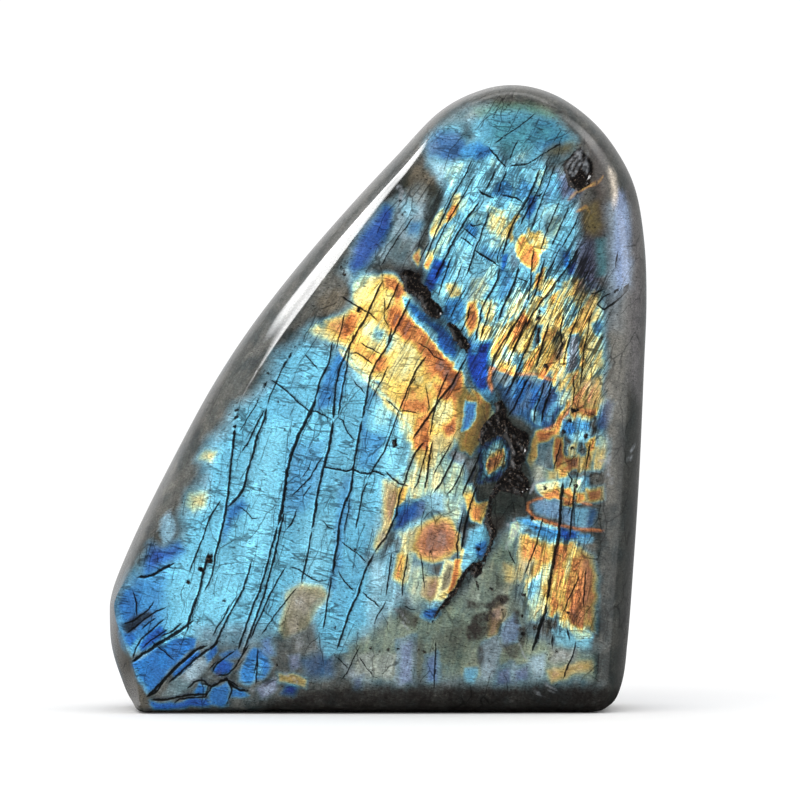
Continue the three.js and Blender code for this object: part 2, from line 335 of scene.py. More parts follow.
    (CREAM - 0.02, 1, 0.9, 2.5, [(436, 212), (446, 208), (444, 224), (434, 238), (430, 230)]),
    (CYAN + 0.04, 1, 1, 2, [(462, 200), (470, 196), (466, 216), (458, 214)]),
    (MINT - 0.03, 1, 0.9, 3, [(444, 232), (458, 222), (452, 240), (438, 262), (432, 256)]),
    (CREAM, 1, 1, 3, [(427, 252), (436, 250), (434, 262), (426, 264)]),
    (ORANGE - 0.04, 1, 0.5, 2, [(424, 266), (432, 258), (436, 262), (428, 272)]),
    (ROYAL, 1, 0.25, 2.5, [(436, 262), (446, 262), (440, 280), (430, 290), (423, 284)]),
    (AZURE + 0.02, 1, 0.5, 2, [(446, 262), (454, 262), (446, 282), (436, 290), (438, 278)]),
    (CYAN - 0.02, 1, 0.9, 3, [(436, 288), (447, 282), (449, 298), (440, 306), (432, 296)]),
    (GOLD - 0.06, 0.65, 0.4, 3, [(446, 284), (462, 282), (460, 298), (448, 298)]),
    (CYAN, 1, 0.9, 6, [(458, 240), (476, 248), (470, 276), (460, 284), (450, 282), (452, 262)]),
    (CYAN + 0.02, 1, 1, 3, [(480, 258), (498, 266), (496, 284), (484, 276)]),
    (MINT, 0.5, 0.7, 4, [(470, 278), (484, 274), (490, 288), (482, 300), (468, 300)]),
    (ROYAL + 0.06, 1, 0.4, 2, [(501, 256), (507, 252), (508, 264), (502, 272)]),
    (AZURE + 0.06, 1, 0.8, 3, [(500, 270), (514, 272), (512, 290), (504, 302), (498, 296)]),
    (SKY, 0.5, 0.6, 3, [(511, 244), (516, 246), (520, 262), (514, 270), (508, 262)]),
    (CREAM + 0.02, 1, 0.8, 3, [(512, 238), (522, 234), (530, 238), (524, 258), (516, 256)]),
    (ORANGE - 0.02, 1, 0.6, 3, [(519, 238), (527, 236), (538, 250), (540, 262), (534, 270), (524, 266),
        (516, 254)]),
    (GOLD - 0.02, 0.9, 0.5, 2, [(534, 240), (541, 240), (541, 252), (536, 252)]),
    (GOLD + 0.02, 0.6, 0.3, 3, [(528, 230), (544, 232), (546, 244), (530, 240)]),
    (MINT + 0.05, 1, 1, 2.5, [(541, 233), (550, 238), (548, 248), (541, 250)]),
    (CYAN, 0.35, 0.4, 4, [(546, 216), (562, 214), (560, 232), (550, 240), (544, 232)]),
    (SKY - 0.02, 0.95, 0.7, 4, [(554, 246), (566, 242), (564, 268), (552, 266)]),
    (ROYAL + 0.07, 1, 0.4, 3, [(564, 252), (572, 250), (570, 266), (564, 266)]),
    (ROYAL + 0.02, 0.7, 0.25, 3, [(574, 262), (580, 264), (574, 276), (568, 274)]),
    (SKY + 0.04, 1, 0.9, 2.5, [(521, 271), (534, 275), (533, 284), (520, 283)]),
    (MINT - 0.04, 1, 1, 4, [(516, 284), (532, 286), (530, 298), (514, 318), (504, 316), (508, 298)]),
    (RUST - 0.03, 0.9, 0.4, 3, [(536, 270), (548, 268), (544, 286), (534, 292)]),
    (CREAM, 1, 0.9, 3, [(545, 276), (556, 276), (554, 290), (543, 296)]),
    (CREAM, 1, 0.8, 3, [(531, 292), (546, 296), (544, 306), (532, 312), (528, 306)]),
    (GOLD - 0.02, 0.95, 0.6, 3, [(548, 294), (562, 290), (562, 306), (546, 306)]),
    (RUST - 0.04, 0.85, 0.4, 3, [(468, 302), (478, 300), (476, 330), (470, 338), (466, 320)]),
    (MINT + 0.05, 1, 1, 4, [(482, 300), (498, 300), (494, 322), (482, 322)]),
    (CREAM + 0.04, 1, 0.8, 4, [(478, 322), (496, 326), (492, 342), (480, 344), (476, 334)]),
    # The gold field on the right
    (CREAM + 0.04, 0.9, 0.6, 9, [
        (520, 316), (545, 306), (556, 300), (580, 282), (600, 292), (604, 330), (603, 366), (594, 380),
        (580, 376), (566, 374), (548, 374), (520, 374), (498, 368), (490, 356), (494, 338), (505, 326)]),
    (CREAM + 0.03, 1, 0.8, 3, [(496, 322), (512, 316), (508, 336), (498, 350), (492, 352), (492, 336)]),
    (MINT - 0.02, 1, 1, 3, [(505, 300), (530, 298), (524, 312), (512, 322), (502, 322)]),
    (ORANGE - 0.04, 1, 0.5, 3, [(512, 326), (524, 312), (534, 316), (530, 334), (516, 342), (510, 338)]),
    (GOLD - 0.03, 1, 0.6, 3, [(508, 340), (520, 338), (520, 352), (512, 356), (506, 350)]),
    (MINT - 0.03, 1, 1, 3, [(500, 348), (508, 346), (516, 356), (516, 364), (502, 360)]),
    (ORANGE - 0.06, 1, 0.5, 3, [(496, 362), (510, 366), (512, 374), (498, 372)]),
    (SKY + 0.02, 0.9, 0.7, 2, [(516, 356), (524, 356), (522, 370), (514, 371)]),
    (CREAM - 0.04, 1, 0.9, 3, [(530, 302), (548, 304), (544, 318), (532, 322), (526, 314)]),
    (CYAN, 0.9, 0.9, 2, [(540, 304), (548, 306), (544, 316), (538, 314)]),
    (GOLD, 0.95, 0.5, 3, [(526, 326), (534, 318), (536, 330), (530, 350), (522, 352)]),
    (SKY, 0.35, 0.35, 2, [(535, 328), (542, 326), (542, 344), (534, 350)]),
    (CREAM + 0.05, 0.9, 0.6, 3, [(532, 350), (542, 346), (540, 358), (530, 362)]),
    (ORANGE - 0.02, 1, 0.5, 3, [(526, 360), (536, 358), (534, 372), (524, 372)]),
    (ORANGE - 0.02, 0.85, 0.4, 3, [(545, 334), (553, 330), (554, 352), (550, 374), (541, 374), (542, 352)]),
    (ORANGE - 0.06, 1, 0.5, 2, [(540, 366), (550, 370), (548, 380), (540, 376)]),
    (AZURE, 0.12, 0.3, 3, [(552, 328), (560, 322), (563, 345), (558, 366), (552, 368)]),
    (AZURE, 0.15, 0.75, 3, [(556, 344), (564, 342), (560, 360), (555, 360)]),
    (CREAM + 0.04, 0.8, 0.6, 3, [(556, 304), (568, 302), (566, 330), (560, 336), (556, 320)]),
    (MINT - 0.02, 0.75, 0.6, 4, [(564, 304), (580, 302), (580, 318), (568, 328), (562, 322)]),
    (GOLD, 0.7, 0.5, 3, [(568, 326), (576, 320), (572, 340), (564, 340)]),
    (AZURE, 0.2, 0.75, 4, [(568, 340), (578, 338), (580, 368), (566, 370)]),
    (CREAM + 0.06, 0.7, 0.6, 4, [(578, 322), (592, 322), (592, 350), (584, 366), (580, 350)]),
    (CREAM + 0.04, 0.6, 0.55, 5, [(588, 334), (602, 330), (602, 368), (590, 376), (585, 360)]),
    (AZURE + 0.04, 0.55, 0.4, 3, [(592, 322), (600, 320), (604, 328), (598, 338), (593, 334)]),
    (GOLD, 0.55, 0.45, 4, [(572, 280), (584, 278), (584, 300), (576, 306), (570, 296)]),
    (CREAM + 0.04, 0.75, 0.5, 3, [(560, 282), (572, 280), (568, 300), (560, 302)]),
    (CREAM + 0.06, 0.6, 0.5, 5, [(580, 300), (594, 300), (592, 320), (582, 320)]),
    # The blue band that cuts across the warm one
    (ROYAL + 0.08, 1, 0.35, 4, [
        (404, 296), (420, 306), (434, 322), (446, 326), (456, 340), (456, 356), (446, 356), (436, 342),
        (424, 328), (410, 316)]),
    (SKY, 0.95, 0.6, 4, [(410, 312), (422, 322), (436, 334), (438, 344), (428, 336), (416, 324)]),
    (CYAN, 0.9, 0.9, 2.5, [(425, 322), (438, 334), (436, 346), (428, 334)]),
    (ROYAL + 0.05, 1, 0.3, 3, [(440, 326), (450, 332), (458, 342), (454, 358), (444, 352), (438, 340)]),
    (AZURE + 0.02, 1, 0.5, 3, [(444, 300), (462, 296), (466, 310), (460, 322), (448, 322), (444, 314)]),
    (SKY, 0.7, 0.4, 3, [(456, 344), (466, 350), (464, 372), (456, 366)]),
    (ROYAL, 1, 0.2, 3, [(468, 344), (490, 342), (486, 380), (492, 396), (484, 394), (470, 378), (466, 360)]),
    (AZURE + 0.04, 0.95, 0.5, 2, [(470, 343), (480, 344), (478, 354), (470, 354)]),
    (AZURE + 0.08, 0.95, 0.5, 3, [(480, 388), (490, 386), (498, 398), (494, 408), (486, 400)]),
    # The arch and what lies under it
    (AZURE - 0.02, 0.4, 0.35, 4, [
        (494, 376), (510, 378), (530, 378), (552, 382), (566, 388), (568, 402), (560, 416), (548, 428),
        (530, 428), (520, 416), (508, 412), (500, 398)]),
    (SKY, 0.25, 0.6, 3, [(496, 372), (508, 376), (514, 380), (504, 386), (496, 382)]),
    (AZURE - 0.06, 0.85, 0.4, 2, [(519, 380), (529, 378), (524, 394), (516, 404), (512, 396)]),
    (AZURE + 0.04, 0.8, 0.6, 2, [(510, 382), (516, 380), (512, 396), (508, 398)]),
    (AZURE - 0.06, 0.85, 0.4, 2, [(532, 386), (542, 384), (538, 402), (530, 408), (529, 398)]),
    (AZURE + 0.08, 1, 0.7, 1.5, [(538, 394), (541, 394), (536, 408), (533, 408)]),
    (MINT - 0.06, 0.6, 0.8, 2, [(530, 410), (538, 410), (534, 424), (530, 420)]),
    (AZURE + 0.1, 0.9, 0.7, 2, [(536, 414), (542, 412), (540, 426), (535, 426)]),
    (AZURE + 0.1, 1, 0.9, 3, [(549, 404), (556, 396), (562, 398), (556, 412), (548, 422), (544, 418)]),
    (CREAM - 0.05, 0.8, 1, 2.5, [(558, 390), (569, 388), (569, 400), (560, 408), (556, 402)]),
    (GOLD - 0.03, 0.8, 0.5, 2, [(553, 372), (557, 372), (557, 388), (553, 388)]),
    (CREAM + 0.03, 0.7, 0.6, 3, [(558, 376), (569, 374), (569, 388), (558, 390)]),
    (GOLD + 0.04, 0.45, 0.4, 5, [(568, 372), (584, 372), (592, 400), (590, 414), (572, 414), (570, 400)]),
    (CREAM + 0.05, 0.35, 0.6, 6, [(580, 378), (602, 376), (604, 404), (584, 410)]),
    (ORANGE - 0.03, 0.95, 0.4, 2.5, [
        (568, 398), (571, 402), (566, 414), (560, 430), (556, 434), (552, 430), (558, 418), (564, 408)]),
    (RUST, 0.7, 0.4, 4, [(534, 432), (552, 428), (558, 434), (546, 442), (534, 444)]),
    (GOLD + 0.02, 0.6, 0.4, 3, [(530, 440), (538, 436), (538, 456), (530, 470), (526, 462)]),
    (SKY, 0.15, 0.42, 5, [(540, 438), (555, 438), (553, 460), (544, 468), (538, 458)]),
    (MINT, 0.2, 0.75, 5, [(530, 462), (544, 462), (548, 478), (536, 484), (528, 476)]),
    (ORANGE, 0.35, 0.25, 3, [(555, 438), (564, 436), (564, 456), (556, 472), (552, 462)]),
    (ORANGE - 0.07, 0.7, 0.4, 3, [(560, 462), (568, 466), (568, 476), (560, 478), (557, 470)]),
    (CREAM, 0.35, 0.4, 4, [(546, 468), (558, 470), (558, 480), (548, 480)]),
    # Right of the dark inclusion
    (AZURE - 0.01, 0.9, 0.35, 2.5, [(564, 420), (576, 418), (578, 434), (570, 438), (562, 430)]),
    (AZURE + 0.04, 1, 0.6, 2, [(579, 420), (590, 421), (590, 432), (584, 434), (577, 430)]),
    (CYAN, 0.8, 0.8, 2.5, [(570, 434), (590, 432), (590, 440), (574, 444)]),
    (MINT, 0.5, 0.7, 2, [(566, 416), (592, 416), (592, 420), (566, 421)]),
    (ORANGE, 0.55, 0.4, 3, [(572, 410), (598, 406), (598, 415), (574, 416)]),
    (ROYAL + 0.08, 0.55, 0.4, 4, [(599, 412), (606, 402), (613, 404), (608, 428), (600, 434), (596, 424)]),
    (MINT + 0.02, 0.55, 0.75, 5, [(597, 436), (606, 434), (610, 444), (604, 462), (597, 460)]),
    (GOLD - 0.04, 0.45, 0.6, 4, [(596, 450), (606, 452), (604, 470), (594, 468)]),
    (ORANGE - 0.02, 0.85, 0.45, 2.5, [(585, 442), (595, 438), (594, 450), (586, 456)]),
    (CREAM + 0.02, 0.6, 0.7, 3, [(568, 444), (578, 442), (578, 456), (568, 456)]),
    (GOLD, 0.4, 0.35, 4, [(580, 456), (594, 452), (592, 470), (580, 470)]),
    (RUST, 0.3, 0.4, 4, [(560, 456), (578, 458), (578, 470), (568, 470)]),
    (AZURE + 0.1, 0.8, 0.6, 2.5, [(583, 476), (590, 474), (592, 490), (584, 490)]),
    (MINT, 0.7, 0.7, 3, [(568, 478), (582, 476), (582, 490), (568, 490)]),
    (CYAN, 0.6, 0.5, 2.5, [(562, 478), (568, 476), (566, 490), (561, 488)]),
    (CREAM - 0.04, 0.75, 0.9, 3, [(534, 484), (554, 480), (562, 482), (560, 490), (546, 492), (536, 492)]),
    # The eye and what lies round it
    (ORANGE - 0.02, 0.7, 0.5, 3, [(540, 492), (552, 489), (561, 488), (561, 498), (546, 499)]),
    (ORANGE, 1, 0.45, 2, [(563, 488), (570, 488), (573, 494), (573, 502), (568, 498), (564, 494)]),
    (ORANGE + 0.02, 0.85, 0.4, 3, [(574, 490), (584, 492), (586, 500), (576, 502)]),
    (RUST - 0.02, 0.35, 0.35, 5, [(586, 488), (604, 486), (604, 500), (588, 502)]),
    (AZURE + 0.05, 0.5, 0.66, 2.5, [(531, 503), (540, 499), (560, 500), (560, 519), (546, 517), (534, 511)]),
    (AZURE + 0.06, 0.5, 0.6, 2.5, [(561, 506), (574, 506), (573, 526), (561, 523)]),
    (SKY - 0.02, 0.55, 0.55, 2.5, [(574, 506), (588, 508), (588, 527), (574, 526)]),
    (AZURE, 0.3, 0.35, 3, [(588, 508), (596, 510), (594, 526), (586, 526)]),
    (RUST, 0.4, 0.3, 3, [(564, 496), (572, 500), (572, 506), (562, 504)]),
    (AZURE + 0.03, 1, 0.5, 2.5, [
        (516, 519), (528, 518), (540, 525), (560, 531), (560, 541), (546, 540), (536, 533), (528, 527),
        (516, 524)]),
    (ROYAL + 0.04, 0.95, 0.25, 2.5, [(560, 530), (572, 531), (590, 535), (588, 542), (574, 542), (560, 540)]),
    (SKY - 0.05, 0.6, 0.5, 2.5, [(576, 534), (594, 537), (592, 542), (576, 542)]),
    (CYAN, 1, 1, 2, [(534, 534), (545, 540), (558, 541), (556, 546), (542, 545), (534, 540)]),
    (CYAN, 0.8, 0.9, 2, [(514, 522), (522, 524), (530, 530), (522, 532), (514, 528)]),
    # The fan under the eye
    (GOLD + 0.05, 0.7, 0.5, 9, [
        (520, 538), (548, 546), (580, 548), (586, 566), (588, 600), (584, 628), (566, 626), (546, 606),
        (530, 606), (520, 580)]),
    (RUST, 0.3, 0.36, 9, [(580, 550), (592, 556), (597, 600), (592, 630), (584, 620), (584, 580)]),
    (GOLD + 0.05, 0.9, 0.6, 4, [(521, 534), (530, 536), (545, 546), (556, 546), (553, 556), (540, 560),
        (524, 560)]),
    (CREAM + 0.03, 0.8, 0.8, 2, [(517, 536), (522, 534), (521, 560), (517, 560)]),
    (MINT, 0.3, 0.8, 5, [(520, 562), (536, 560), (532, 576), (520, 582)]),
    (ORANGE - 0.03, 1, 0.7, 2.5, [(545, 552), (554, 548), (553, 562), (546, 566)]),
    (CREAM, 1, 0.9, 3, [(540, 566), (552, 560), (551, 576), (543, 588), (536, 584)]),
    (CYAN + 0.03, 1, 1, 3, [(530, 578), (542, 572), (540, 592), (532, 604), (526, 600)]),
    (SKY, 0.9, 0.7, 2, [(527, 588), (533, 578), (534, 590), (528, 598)]),
    (MINT + 0.01, 0.75, 0.8, 4, [(528, 600), (542, 590), (545, 606), (538, 620), (526, 622)]),
    (CREAM - 0.03, 0.6, 0.7, 3, [(536, 606), (545, 604), (540, 618), (532, 622)]),
    (ORANGE + 0.02, 0.85, 0.35, 3, [(556, 546), (566, 546), (562, 566), (554, 580), (553, 566)]),
    (RUST - 0.04, 0.7, 0.5, 3, [(564, 546), (572, 546), (568, 560), (562, 566)]),
    (ORANGE + 0.04, 0.85, 0.5, 4, [(572, 560), (582, 556), (576, 580), (568, 596), (564, 592)]),
    (GOLD, 0.85, 0.5, 3, [(549, 578), (556, 574), (552, 592), (547, 600)]),
    (CREAM + 0.06, 0.95, 0.6, 2, [(572, 552), (576, 552), (570, 574), (562, 592), (558, 590), (566, 570)]),
    (ORANGE, 0.9, 0.5, 3, [(560, 592), (566, 584), (560, 602), (552, 616), (547, 614), (552, 598)]),
    (GOLD, 0.85, 0.5, 3, [(556, 590), (566, 588), (562, 602), (556, 606)]),
    (ORANGE + 0.02, 0.8, 0.5, 5, [(575, 574), (581, 568), (581, 600), (576, 618), (568, 616), (568, 600)]),
    (ORANGE - 0.05, 1, 0.6, 2, [(566, 606), (572, 600), (570, 616), (562, 626), (558, 624)]),
    (RUST - 0.02, 0.55, 0.45, 6, [(570, 612), (580, 602), (586, 624), (578, 630), (570, 626)]),
    (CREAM, 0.8, 0.7, 2.5, [(558, 624), (568, 620), (584, 628), (586, 634), (566, 630), (556, 630)]),
    (CYAN - 0.04, 0.8, 0.6, 3, [
        (552, 632), (566, 630), (576, 636), (592, 638), (590, 648), (574, 650), (556, 648)]),
    (MINT, 0.7, 0.7, 2.5, [(572, 630), (592, 634), (592, 640), (574, 638)]),
    # The lower middle
    (MINT, 0.2, 0.56, 14, [
        (470, 575), (486, 552), (500, 530), (515, 525), (522, 560), (525, 600), (530, 630), (545, 640),
        (600, 650), (600, 684), (470, 684), (360, 684), (335, 655), (352, 640), (376, 624), (400, 606),
        (440, 605)]),
    (CREAM + 0.02, 0.5, 0.8, 6, [
        (383, 482), (399, 478), (400, 500), (397, 514), (388, 538), (378, 553), (370, 548), (380, 520)]),
    (ORANGE - 0.04, 0.3, 0.7, 5, [(390, 488), (398, 488), (397, 512), (389, 520), (386, 506)]),
    (RUST, 0.15, 0.65, 5, [(380, 532), (390, 528), (386, 540), (378, 546)]),
    (GOLD + 0.02, 0.9, 0.5, 2.5, [(399, 488), (409, 486), (406, 498), (399, 506)]),
    (CYAN, 0.6, 0.95, 7, [(424, 496), (436, 492), (454, 498), (462, 508), (458, 522), (440, 516),
        (426, 512)]),
    (MINT + 0.03, 0.6, 0.9, 5, [(444, 500), (458, 498), (462, 512), (458, 522), (446, 516)]),
    (CYAN, 0.75, 0.9, 4, [(398, 524), (414, 522), (424, 512), (424, 524), (408, 536), (396, 538)]),
    (AZURE + 0.02, 1, 0.5, 2.5, [(394, 522), (396, 509), (408, 501), (410, 510), (400, 522)]),
    (ROYAL + 0.05, 0.7, 0.35, 4, [(394, 530), (402, 514), (413, 500), (421, 500), (417, 514), (404, 529)]),
    (ROYAL + 0.1, 0.6, 0.8, 4, [(419, 500), (427, 499), (424, 511), (413, 520)]),
    (CREAM - 0.02, 0.55, 0.85, 5, [(400, 532), (414, 530), (414, 560), (411, 582), (400, 586), (398, 560)]),
    (ORANGE - 0.04, 0.85, 0.7, 4, [(396, 556), (406, 554), (406, 570), (403, 582), (394, 580)]),
    (CREAM, 0.75, 0.7, 3, [(403, 536), (411, 538), (408, 556), (401, 556)]),
    (SKY + 0.04, 0.7, 0.8, 4, [(386, 548), (394, 545), (394, 566), (390, 578), (384, 576)]),
    (MINT, 0.4, 0.75, 8, [(410, 562), (428, 564), (434, 580), (428, 604), (412, 604), (405, 590)]),
    (ORANGE, 0.25, 0.7, 6, [(428, 578), (441, 576), (440, 592), (430, 602), (424, 594)]),
    (GOLD, 0.6, 0.62, 5, [
        (411, 548), (416, 530), (426, 519), (440, 515), (453, 521), (460, 534), (459, 550), (450, 560),
        (432, 564), (418, 558)]),
    (GOLD + 0.05, 0.6, 0.66, 6, [
        (413, 546), (420, 529), (431, 522), (445, 522), (456, 533), (455, 548), (448, 557), (432, 560),
        (419, 555)]),
    (MAUVE - 0.03, 0.6, 0.72, 9, [(418, 542), (427, 527), (441, 526), (452, 534), (452, 548), (438, 555),
        (424, 553)]),
    (CREAM, 0.9, 0.9, 1.5, [(446, 560), (457, 562), (456, 580), (449, 593), (438, 602), (433, 600),
        (440, 574)]),
    (AZURE, 0.12, 0.5, 1.5, [(449, 564), (455, 566), (452, 580), (445, 592), (440, 590), (444, 574)]),
    (RUST, 0.9, 0.4, 1.5, [(456, 560), (461, 562), (459, 576), (451, 592), (447, 594), (452, 580)]),
    (GOLD, 1, 0.6, 2, [(460, 546), (465, 550), (465, 564), (459, 580), (452, 592), (458, 574)]),
    (CREAM + 0.05, 0.9, 0.8, 2, [(438, 596), (446, 590), (446, 598), (438, 604)]),
    (CYAN, 0.75, 1, 3, [(426, 603), (442, 600), (444, 606), (430, 612)]),
    (ROYAL + 0.08, 0.95, 0.6, 3, [(422, 610), (438, 606), (440, 613), (432, 619), (422, 616)]),
    (SKY, 1, 0.8, 3, [
        (463, 548), (470, 530), (480, 525), (490, 530), (492, 541), (486, 550), (484, 561), (474, 565),
        (466, 573), (461, 568)]),
    (CYAN, 0.95, 0.9, 2.5, [(462, 566), (468, 552), (472, 552), (470, 566), (464, 574)]),
    (ROYAL + 0.09, 1, 0.5, 2, [(475, 546), (486, 540), (485, 557), (476, 561)]),
    (MINT + 0.04, 0.9, 0.8, 3, [(460, 484), (474, 486), (476, 500), (466, 504), (460, 496)]),
    (GOLD + 0.03, 1, 0.5, 3, [
        (462, 494), (470, 494), (478, 502), (490, 501), (486, 515), (480, 524), (472, 520), (466, 506)]),
    (ORANGE, 0.85, 0.4, 2, [(474, 508), (482, 506), (480, 520), (474, 518)]),
    (MINT + 0.03, 0.9, 0.9, 1.5, [(510, 524), (518, 520), (520, 532), (514, 540), (507, 552), (505, 548)]),
    (MINT, 0.3, 0.4, 9, [(500, 542), (514, 546), (516, 564), (504, 570), (496, 560)]),
    (CREAM + 0.04, 0.5, 0.6, 4, [(506, 562), (516, 564), (514, 582), (504, 580)]),
    (MINT, 0.3, 0.5, 7, [(446, 606), (460, 600), (462, 616), (450, 626)]),
    # The grey strips and dusky blue ones below it
    (RUST, 0.12, 0.42, 8, [(438, 632), (462, 622), (470, 640), (462, 664), (440, 662)]),
    (ROYAL + 0.12, 0.4, 0.8, 6, [(399, 640), (415, 636), (414, 684), (398, 684)]),
    (AZURE, 0.55, 0.75, 4, [(426, 656), (438, 652), (438, 682), (424, 682)]),
    (RUST, 0.1, 0.5, 5, [(415, 640), (425, 640), (424, 684), (415, 684)]),
    (CREAM, 0.15, 0.82, 6, [(340, 654), (396, 652), (398, 678), (350, 680), (336, 668)]),
    (AZURE, 0.3, 0.6, 4, [(352, 678), (364, 676), (364, 690), (354, 692)]),
    (SKY - 0.03, 0.75, 0.7, 3, [(466, 670), (476, 666), (474, 682), (466, 682)]),
    (ORANGE - 0.04, 0.2, 0.62, 4, [(490, 612), (502, 600), (504, 612), (498, 632), (488, 640)]),
    (SKY, 0.25, 0.78, 5, [(482, 642), (496, 636), (500, 648), (494, 676), (480, 680)]),
    (AZURE + 0.03, 0.45, 0.8, 3, [(504, 622), (514, 612), (520, 628), (518, 640), (504, 646), (500, 636)]),
    (ROYAL + 0.1, 0.35, 0.65, 5, [(496, 668), (513, 664), (512, 682), (494, 686)]),
    (ROYAL + 0.1, 0.3, 0.65, 5, [(515, 668), (530, 664), (528, 680), (514, 682)]),
    (SKY + 0.1, 0.25, 0.75, 5, [(530, 656), (546, 654), (546, 678), (532, 682)]),
    (ORANGE - 0.05, 0.35, 0.72, 5, [(548, 672), (590, 660), (592, 668), (552, 684)]),
    (MAUVE, 0.1, 0.78, 6, [(550, 648), (575, 648), (575, 660), (550, 664)]),
    (MAUVE, 0.05, 0.25, 7, [(592, 650), (626, 650), (622, 684), (592, 684)]),
    # The ellipse inside the dark inclusion
    (ROYAL, 0.6, 0.2, 2, [(479, 484), (477, 452), (488, 440), (502, 436), (511, 446), (511, 464),
        (498, 482)]),
    (SKY, 0.9, 0.4, 2, [(482, 480), (481, 454), (490, 443), (502, 440), (508, 449), (508, 462), (496, 477)]),
    (CYAN + 0.03, 1, 0.8, 2, [(484, 456), (492, 444), (503, 443), (500, 452), (488, 460)]),
    (GOLD, 1, 0.5, 2, [(485, 462), (493, 453), (504, 449), (506, 459), (498, 471), (488, 476)]),
    (ORANGE + 0.03, 1, 0.4, 2, [(487, 464), (494, 457), (502, 455), (500, 464), (490, 473)]),
    # A grey patch in the blue field, near the base
    (CREAM, 0.4, 0.8, 6, [
        (280, 606), (290, 590), (300, 583), (322, 584), (330, 592), (326, 604), (314, 618), (306, 630),
        (284, 640), (276, 630)]),
    (ORANGE, 0.16, 0.68, 5, [
        (286, 606), (296, 590), (318, 588), (324, 596), (314, 610), (306, 622), (286, 636), (280, 628)]),
    (MAUVE, 0.1, 0.68, 5, [
        (290, 606), (299, 592), (312, 592), (314, 600), (306, 616), (314, 626), (320, 640), (320, 660),
        (280, 660), (282, 630)]),
    # The foot, with blue cells in a dark network
    (RUST, 0.08, 0.5, 8, [
        (190, 640), (215, 634), (262, 636), (282, 630), (300, 650), (340, 652), (340, 684), (300, 684),
        (262, 708), (150, 708), (146, 694), (180, 660)]),
    (SKY, 0.4, 0.6, 10, [(196, 628), (270, 626), (272, 644), (200, 646)]),
    (ROYAL + 0.11, 0.95, 0.6, 4, [(122, 594), (132, 589), (138, 600), (135, 620), (124, 618), (120, 604)]),
    (AZURE + 0.02, 0.95, 0.6, 10, [(138, 584), (160, 578), (162, 600), (146, 618), (138, 610)]),
    (RUST, 0.1, 0.3, 3, [(122, 624), (138, 614), (150, 610), (154, 616), (140, 626), (126, 634)]),
    (ROYAL + 0.08, 1, 0.4, 2, [(123, 634), (132, 631), (137, 638), (129, 646), (125, 642)]),
    (AZURE + 0.08, 1, 0.6, 2, [(128, 648), (138, 638), (143, 636), (136, 652), (131, 657)]),
    (ROYAL + 0.04, 1, 0.4, 2, [(141, 644), (150, 632), (160, 627), (167, 632), (152, 644), (142, 650)]),
    (AZURE - 0.04, 1, 0.6, 2.5, [
        (131, 664), (145, 655), (160, 646), (176, 638), (195, 639), (193, 650), (178, 662), (162, 678),
        (147, 692), (138, 682)]),
    (AZURE + 0.06, 1, 0.8, 2.5, [(133, 668), (137, 668), (146, 688), (146, 693), (138, 682)]),
    (ROYAL + 0.06, 1, 0.5, 2, [(174, 672), (186, 660), (198, 651), (200, 655), (188, 668), (176, 679)]),
    (ROYAL + 0.08, 0.9, 0.5, 2, [(203, 656), (216, 646), (217, 654), (206, 665)]),
    (ROYAL + 0.04, 0.95, 0.4, 2, [(213, 669), (223, 660), (233, 664), (229, 672), (217, 675)]),
    (AZURE, 0.7, 0.6, 2.5, [(220, 656), (236, 648), (240, 656), (228, 662)]),
    (ROYAL + 0.1, 0.95, 0.5, 2, [(193, 692), (200, 682), (208, 687), (206, 694), (196, 696)]),
    (ROYAL + 0.1, 0.95, 0.5, 2, [(210, 696), (215, 688), (227, 681), (230, 688), (227, 706), (210, 706)]),
    (ROYAL + 0.04, 0.9, 0.4, 2, [(150, 700), (178, 703), (196, 699), (208, 700), (208, 708), (154, 708)]),
    (ROYAL + 0.1, 0.85, 0.5, 2, [(231, 688), (245, 691), (250, 697), (232, 697)]),
    (ROYAL + 0.11, 0.95, 0.6, 3, [
        (238, 674), (246, 656), (254, 648), (264, 652), (270, 664), (264, 678), (250, 685), (240, 682)]),
    (AZURE + 0.05, 0.95, 0.7, 2, [(254, 664), (262, 660), (262, 676), (256, 678)]),
    (AZURE, 0.6, 0.75, 4, [(262, 640), (272, 638), (273, 654), (262, 656)]),
    (SKY + 0.08, 0.2, 0.6, 4, [(162, 693), (178, 677), (192, 676), (190, 688), (174, 697)]),
    (SKY, 0.3, 0.85, 4, [(186, 668), (204, 656), (208, 666), (196, 680), (186, 678)]),
    (MINT, 0.1, 0.6, 3, [(208, 674), (220, 671), (218, 683), (208, 682)]),
    (ROYAL, 0.6, 0.3, 4, [(282, 694), (288, 684), (298, 684), (294, 697)]),
    (ROYAL + 0.1, 0.3, 0.85, 3, [(258, 690), (268, 680), (278, 676), (277, 690), (262, 700)]),
    (AZURE, 0.3, 0.45, 6, [(300, 660), (320, 650), (334, 660), (332, 676), (306, 678)]),
    (SKY, 0.75, 0.7, 3, [(322, 644), (344, 638), (346, 652), (326, 658)]),
    (ROYAL + 0.1, 0.3, 0.7, 3, [(288, 656), (298, 654), (300, 668), (290, 670)]),
    (GOLD, 0.3, 0.5, 4, [(276, 672), (292, 673), (306, 680), (305, 689), (292, 685), (278, 681)]),
]

